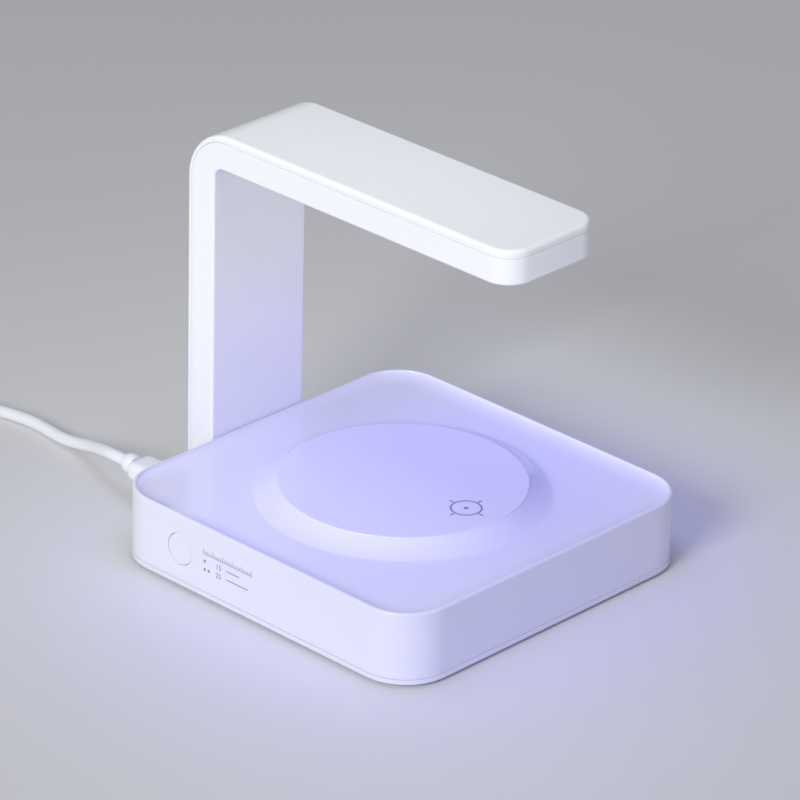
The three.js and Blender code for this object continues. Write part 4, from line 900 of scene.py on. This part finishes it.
def new_finish(name, colour, roughness, spread=0.05, bump=0.02, shade=0.02, depth=0.0004, metallic=0.0,
               group=moulded, **scales):
    """Principled: the colour darkens by the shade and the roughness rises by the spread as masks rise."""
    finish, tree, shader = new_material(name)
    surface = add_node(tree, "Group", {"node_tree": group}, **scales).outputs
    tone = two_tones(tree, surface["Tone"], colour, np.multiply(colour, 1 - shade))
    gloss = add_node(tree, "MapRange", Value=surface["Gloss"], To_Min=roughness, To_Max=roughness + spread)
    relief = add_node(tree, "Bump", Height=surface["Relief"], Strength=bump, Distance=depth)
    fill_sockets(tree, shader, Metallic=metallic, Base_Color=tone, Roughness=gloss.outputs[0],
                 Normal=relief.outputs[0])
    return finish


GLOSSY = {"spread": 0.03, "bump": 0.008, "shade": 0.012}
# The base's white is darker and bluer than the arm's: painted shade and painted violet lamp light on one
# plastic.
housing = new_finish("glossy_white_base_painted_light", (0.82, 0.82, 0.86), 0.15, **GLOSSY)
arm_white = new_finish("glossy_white_arm", (0.89, 0.89, 0.9), 0.2, **GLOSSY)
# The button has the base's white, with the same painted shade and painted violet light.
button_finish = new_finish("glossy_white_button_painted_light", (0.82, 0.82, 0.86), 0.15, **GLOSSY)
sleeve = new_finish("satin_white_sleeve", (0.91, 0.91, 0.92), 0.45, bump=0.05, Grain_Scale=1800.0)
pad_rubber = new_finish("pale_foot_rubber", (0.62, 0.62, 0.64), 0.7, bump=0.12, shade=0.1, Grain_Scale=1500.0)
black_plastic = new_finish("black_moulded_plastic", (0.028, 0.028, 0.03), 0.45, bump=0.08, shade=0.15)
cream_plastic = new_finish("cream_moulded_plastic", (0.74, 0.69, 0.56), 0.4, bump=0.04)
strap_cloth = new_finish("black_strap", (0.03, 0.03, 0.034), 0.85, bump=0.5, shade=0.3, Grain_Scale=900.0)
ferrite_grey = new_finish(
    "sintered_ferrite", (0.05, 0.05, 0.056), 0.6, bump=0.2, shade=0.3, Grain_Scale=1400.0)
amber_resin = new_finish("amber_capacitor", (0.58, 0.33, 0.08), 0.35, shade=0.15)
grey_ink = new_finish("grey_print_ink", (0.27, 0.27, 0.31), 0.5)
wire_sleeve = new_finish("white_wire_sleeve", (0.78, 0.78, 0.8), 0.5, bump=0.04)
lamp_mask = new_finish("white_lamp_board", (0.8, 0.8, 0.78), 0.4, bump=0.03)
print(len(bpy.data.materials), "moulded finishes")

# %% Metals: their streaks set the gloss and the relief, and their tarnish dulls the colour
METAL = {"spread": 0.16, "bump": 0.08, "shade": 0.2, "depth": 0.0002, "metallic": 1.0, "group": brushed}
plated = new_finish("plated_steel", (0.68, 0.68, 0.69), 0.24, **METAL)
enamel_copper = new_finish("enamelled_copper", (0.72, 0.33, 0.14), 0.26, **METAL, Streak_Scale=400.0)
gilt = new_finish("gold_emitter_body", (0.8, 0.56, 0.2), 0.29, **METAL)
print("metals:", plated.name, enamel_copper.name, gilt.name)


# %% Glass of the window, and the lit domes
def new_glass(name, colour, glow, strength):
    """Clear glass that also glows, a little less where a slow noise is high."""
    finish, tree, shader = new_material(name)
    surface = add_node(tree, "Group", {"node_tree": moulded}, Sink_Scale=90.0).outputs
    light = two_tones(tree, surface["Tone"], glow, np.multiply(glow, 0.8))
    fill_sockets(tree, shader, Base_Color=(*colour, 1.0), Roughness=0.05, IOR=1.46, Transmission_Weight=1.0,
                 Emission_Strength=strength, Emission_Color=light)
    return finish


quartz = new_glass("clear_quartz_window", (0.93, 0.91, 1.0), (0.2, 0.12, 0.9), 0.25)
lit_dome = new_glass("lit_emitter_dome", (0.9, 0.88, 1.0), (0.42, 0.3, 1.0), 6.0)
print("glasses:", quartz.name, lit_dome.name)

# %% Green board with traces
green_board, tree, shader = new_material("green_circuit_board")
where = add_node(tree, "TexCoord").outputs["Object"]
traces = add_node(
    tree, "TexBrick", Vector=where, Scale=420.0, Color1=(1, 1, 1, 1), Color2=(0.75, 0.75, 0.75, 1),
    Mortar=(0, 0, 0, 1), Mortar_Size=0.06, Mortar_Smooth=0.1, Brick_Width=1.1, Row_Height=0.4)
greens = two_tones(tree, traces.outputs["Color"], (0.03, 0.22, 0.09), (0.006, 0.07, 0.03))
relief = add_node(tree, "Bump", Height=traces.outputs["Fac"], Strength=0.3, Distance=0.00005)
fill_sockets(tree, shader, Base_Color=greens, Roughness=0.32, Coat_Weight=0.3, Normal=relief.outputs[0])
print(len(bpy.data.materials), "materials in all")


# %% Give each piece its finish
def finish_with(material, slot, *pieces):
    """The material on each piece or named inner part. The slot is not used."""
    for piece in pieces:
        piece = inner.get(piece, piece)
        piece.data.materials.clear()
        piece.data.materials.append(material)


finish_with(housing, "housing", base, cover)
finish_with(arm_white, "housing", arm, arm_lid)
finish_with(button_finish, "button", cap)
finish_with(sleeve, "cable", cable, plug_grip, plug_bead, far_grip)
finish_with(pad_rubber, "foot_rubber", *feet)
finish_with(plated, "metal", far_shell, plug_tip, "socket_shell", *screw_names)
finish_with(cream_plastic, "cream_plastic", far_tongue, "lamp_connector", "switch_plunger")
finish_with(black_plastic, "black_plastic", "switch_body", "socket_tongue", "controller_chip", "coil_carrier")
finish_with(strap_cloth, "tie", strap)
finish_with(ferrite_grey, "ferrite", "ferrite_plate", "power_inductor")
finish_with(amber_resin, "capacitor", "capacitor_1", "capacitor_2")
finish_with(green_board, "board", "main_board", "switch_board")
finish_with(lamp_mask, "lamp_board", "lamp_board")
finish_with(wire_sleeve, "wire", "lamp_harness")
finish_with(enamel_copper, "copper", charging_coil)
finish_with(quartz, "window", window)
finish_with(gilt, "emitter", *blocks)
finish_with(lit_dome, "emitter", *domes)
finish_with(grey_ink, None, *marks)

# %% [markdown]
# ## Light and floor
# The photograph has soft daylight: a window in front, a little to the right, and light from all round.
# One area light is the window and an even world is the rest of the room. Small, weak area lights then do
# what a photographer does with white cards: they lift the head from above, its end and the column. The
# lamp itself is lit, so two violet panels under the head shine down on the base, and weak violet lights
# low in front of it stand for what the white plastic passes on. All but the window stay out of
# reflections, because the real cards do not show in the plastic.

# %% World, floor and lights
world = bpy.data.worlds.new("studio")
world.use_nodes = True
scene.world = world
sky = world.node_tree.nodes["Background"]
fill_sockets(world.node_tree, sky, Color=(0.90, 0.91, 1.0, 1.0), Strength=0.37)

FLOOR_HALF, FLOOR_DROP = 4.0, 0.00005
floor_points = np.array([[-1, -1, 0], [1, -1, 0], [1, 1, 0], [-1, 1, 0]]) * FLOOR_HALF
floor_points[:, 2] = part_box("foot_front_left")[0].z - FLOOR_DROP
floor_mesh = bpy.data.meshes.new("floor")
floor_mesh.from_pydata(floor_points.tolist(), [], [(0, 1, 2, 3)])
floor_mesh.materials.append(new_finish("pale_floor", (0.79, 0.79, 0.77), 0.75, bump=0.0, Sink_Scale=6.0))
floor = in_scene("floor", floor_mesh)


def area_light(name, place, aim, size, power, colour, spread):
    """A rectangular light at a place, turned to face an aim, both in drawing millimetres; not seen itself."""
    light = bpy.data.lights.new(name, "AREA")
    light.shape, light.size, light.size_y = "RECTANGLE", *size
    light.energy, light.color, light.spread = power, colour, np.radians(spread)
    lamp = in_scene(name, light)
    place, aim = Vector(in_frame(place)), Vector(in_frame(aim))
    facing = (aim - place).to_track_quat("-Z", "Y").to_matrix().to_4x4()
    lamp.matrix_world = Matrix.Translation(place) @ facing
    lamp.visible_camera = False
    return lamp


VIOLET = (0.02, 0.01, 1.0)
area_light("window_light", (348, -1640, 932), (0, 0, 40), (0.66, 0.56), 4.0, (0.98, 0.99, 1.0), 85)
CARDS = {
    "over_head": ((-5, -25, 260), (-5, 0, 128), (0.22, 0.12), 0.06, (0.93, 0.96, 1.0), 120),
    "left_fill": ((-110, -260, 110), (-70, -20, 80), (0.1, 0.1), 0.013, (0.98, 0.99, 1.0), 60),
    "column_fill": ((75, -35, 75), (-64, 5, 72), (0.05, 0.07), 0.003, (1.0, 1.0, 0.1), 60),
    "end_fill": ((180, -109, 124), (60, -5, 122), (0.06, 0.06), 0.007, (1.0, 1.0, 0.8), 60),
    "violet_beam": ((20, 0, UNDER - 1), (20, 0, 0), (0.07, 0.09), 0.003, VIOLET, 90),
    "violet_spill": ((14, 5, UNDER - 1), (14, 5, 0), (0.10, 0.13), 0.056, VIOLET, 98),
    "right_bounce": ((330, -120, 120), (64, -20, 10), (0.2, 0.2), 0.022, VIOLET, 45),
    "corner_bounce": ((230, -230, 90), (64, -64, 10), (0.15, 0.15), 0.014, (0.45, 0.44, 1.0), 60),
    "front_bounce": ((0, -220, 70), (0, -64, 12), (0.1, 0.1), 0.003, VIOLET, 80),
}
for name, card in CARDS.items():
    area_light(name, *card).visible_glossy = False

# %% Plain picture settings
scene.view_settings.view_transform = "Standard"
print("view transform:", scene.view_settings.view_transform)
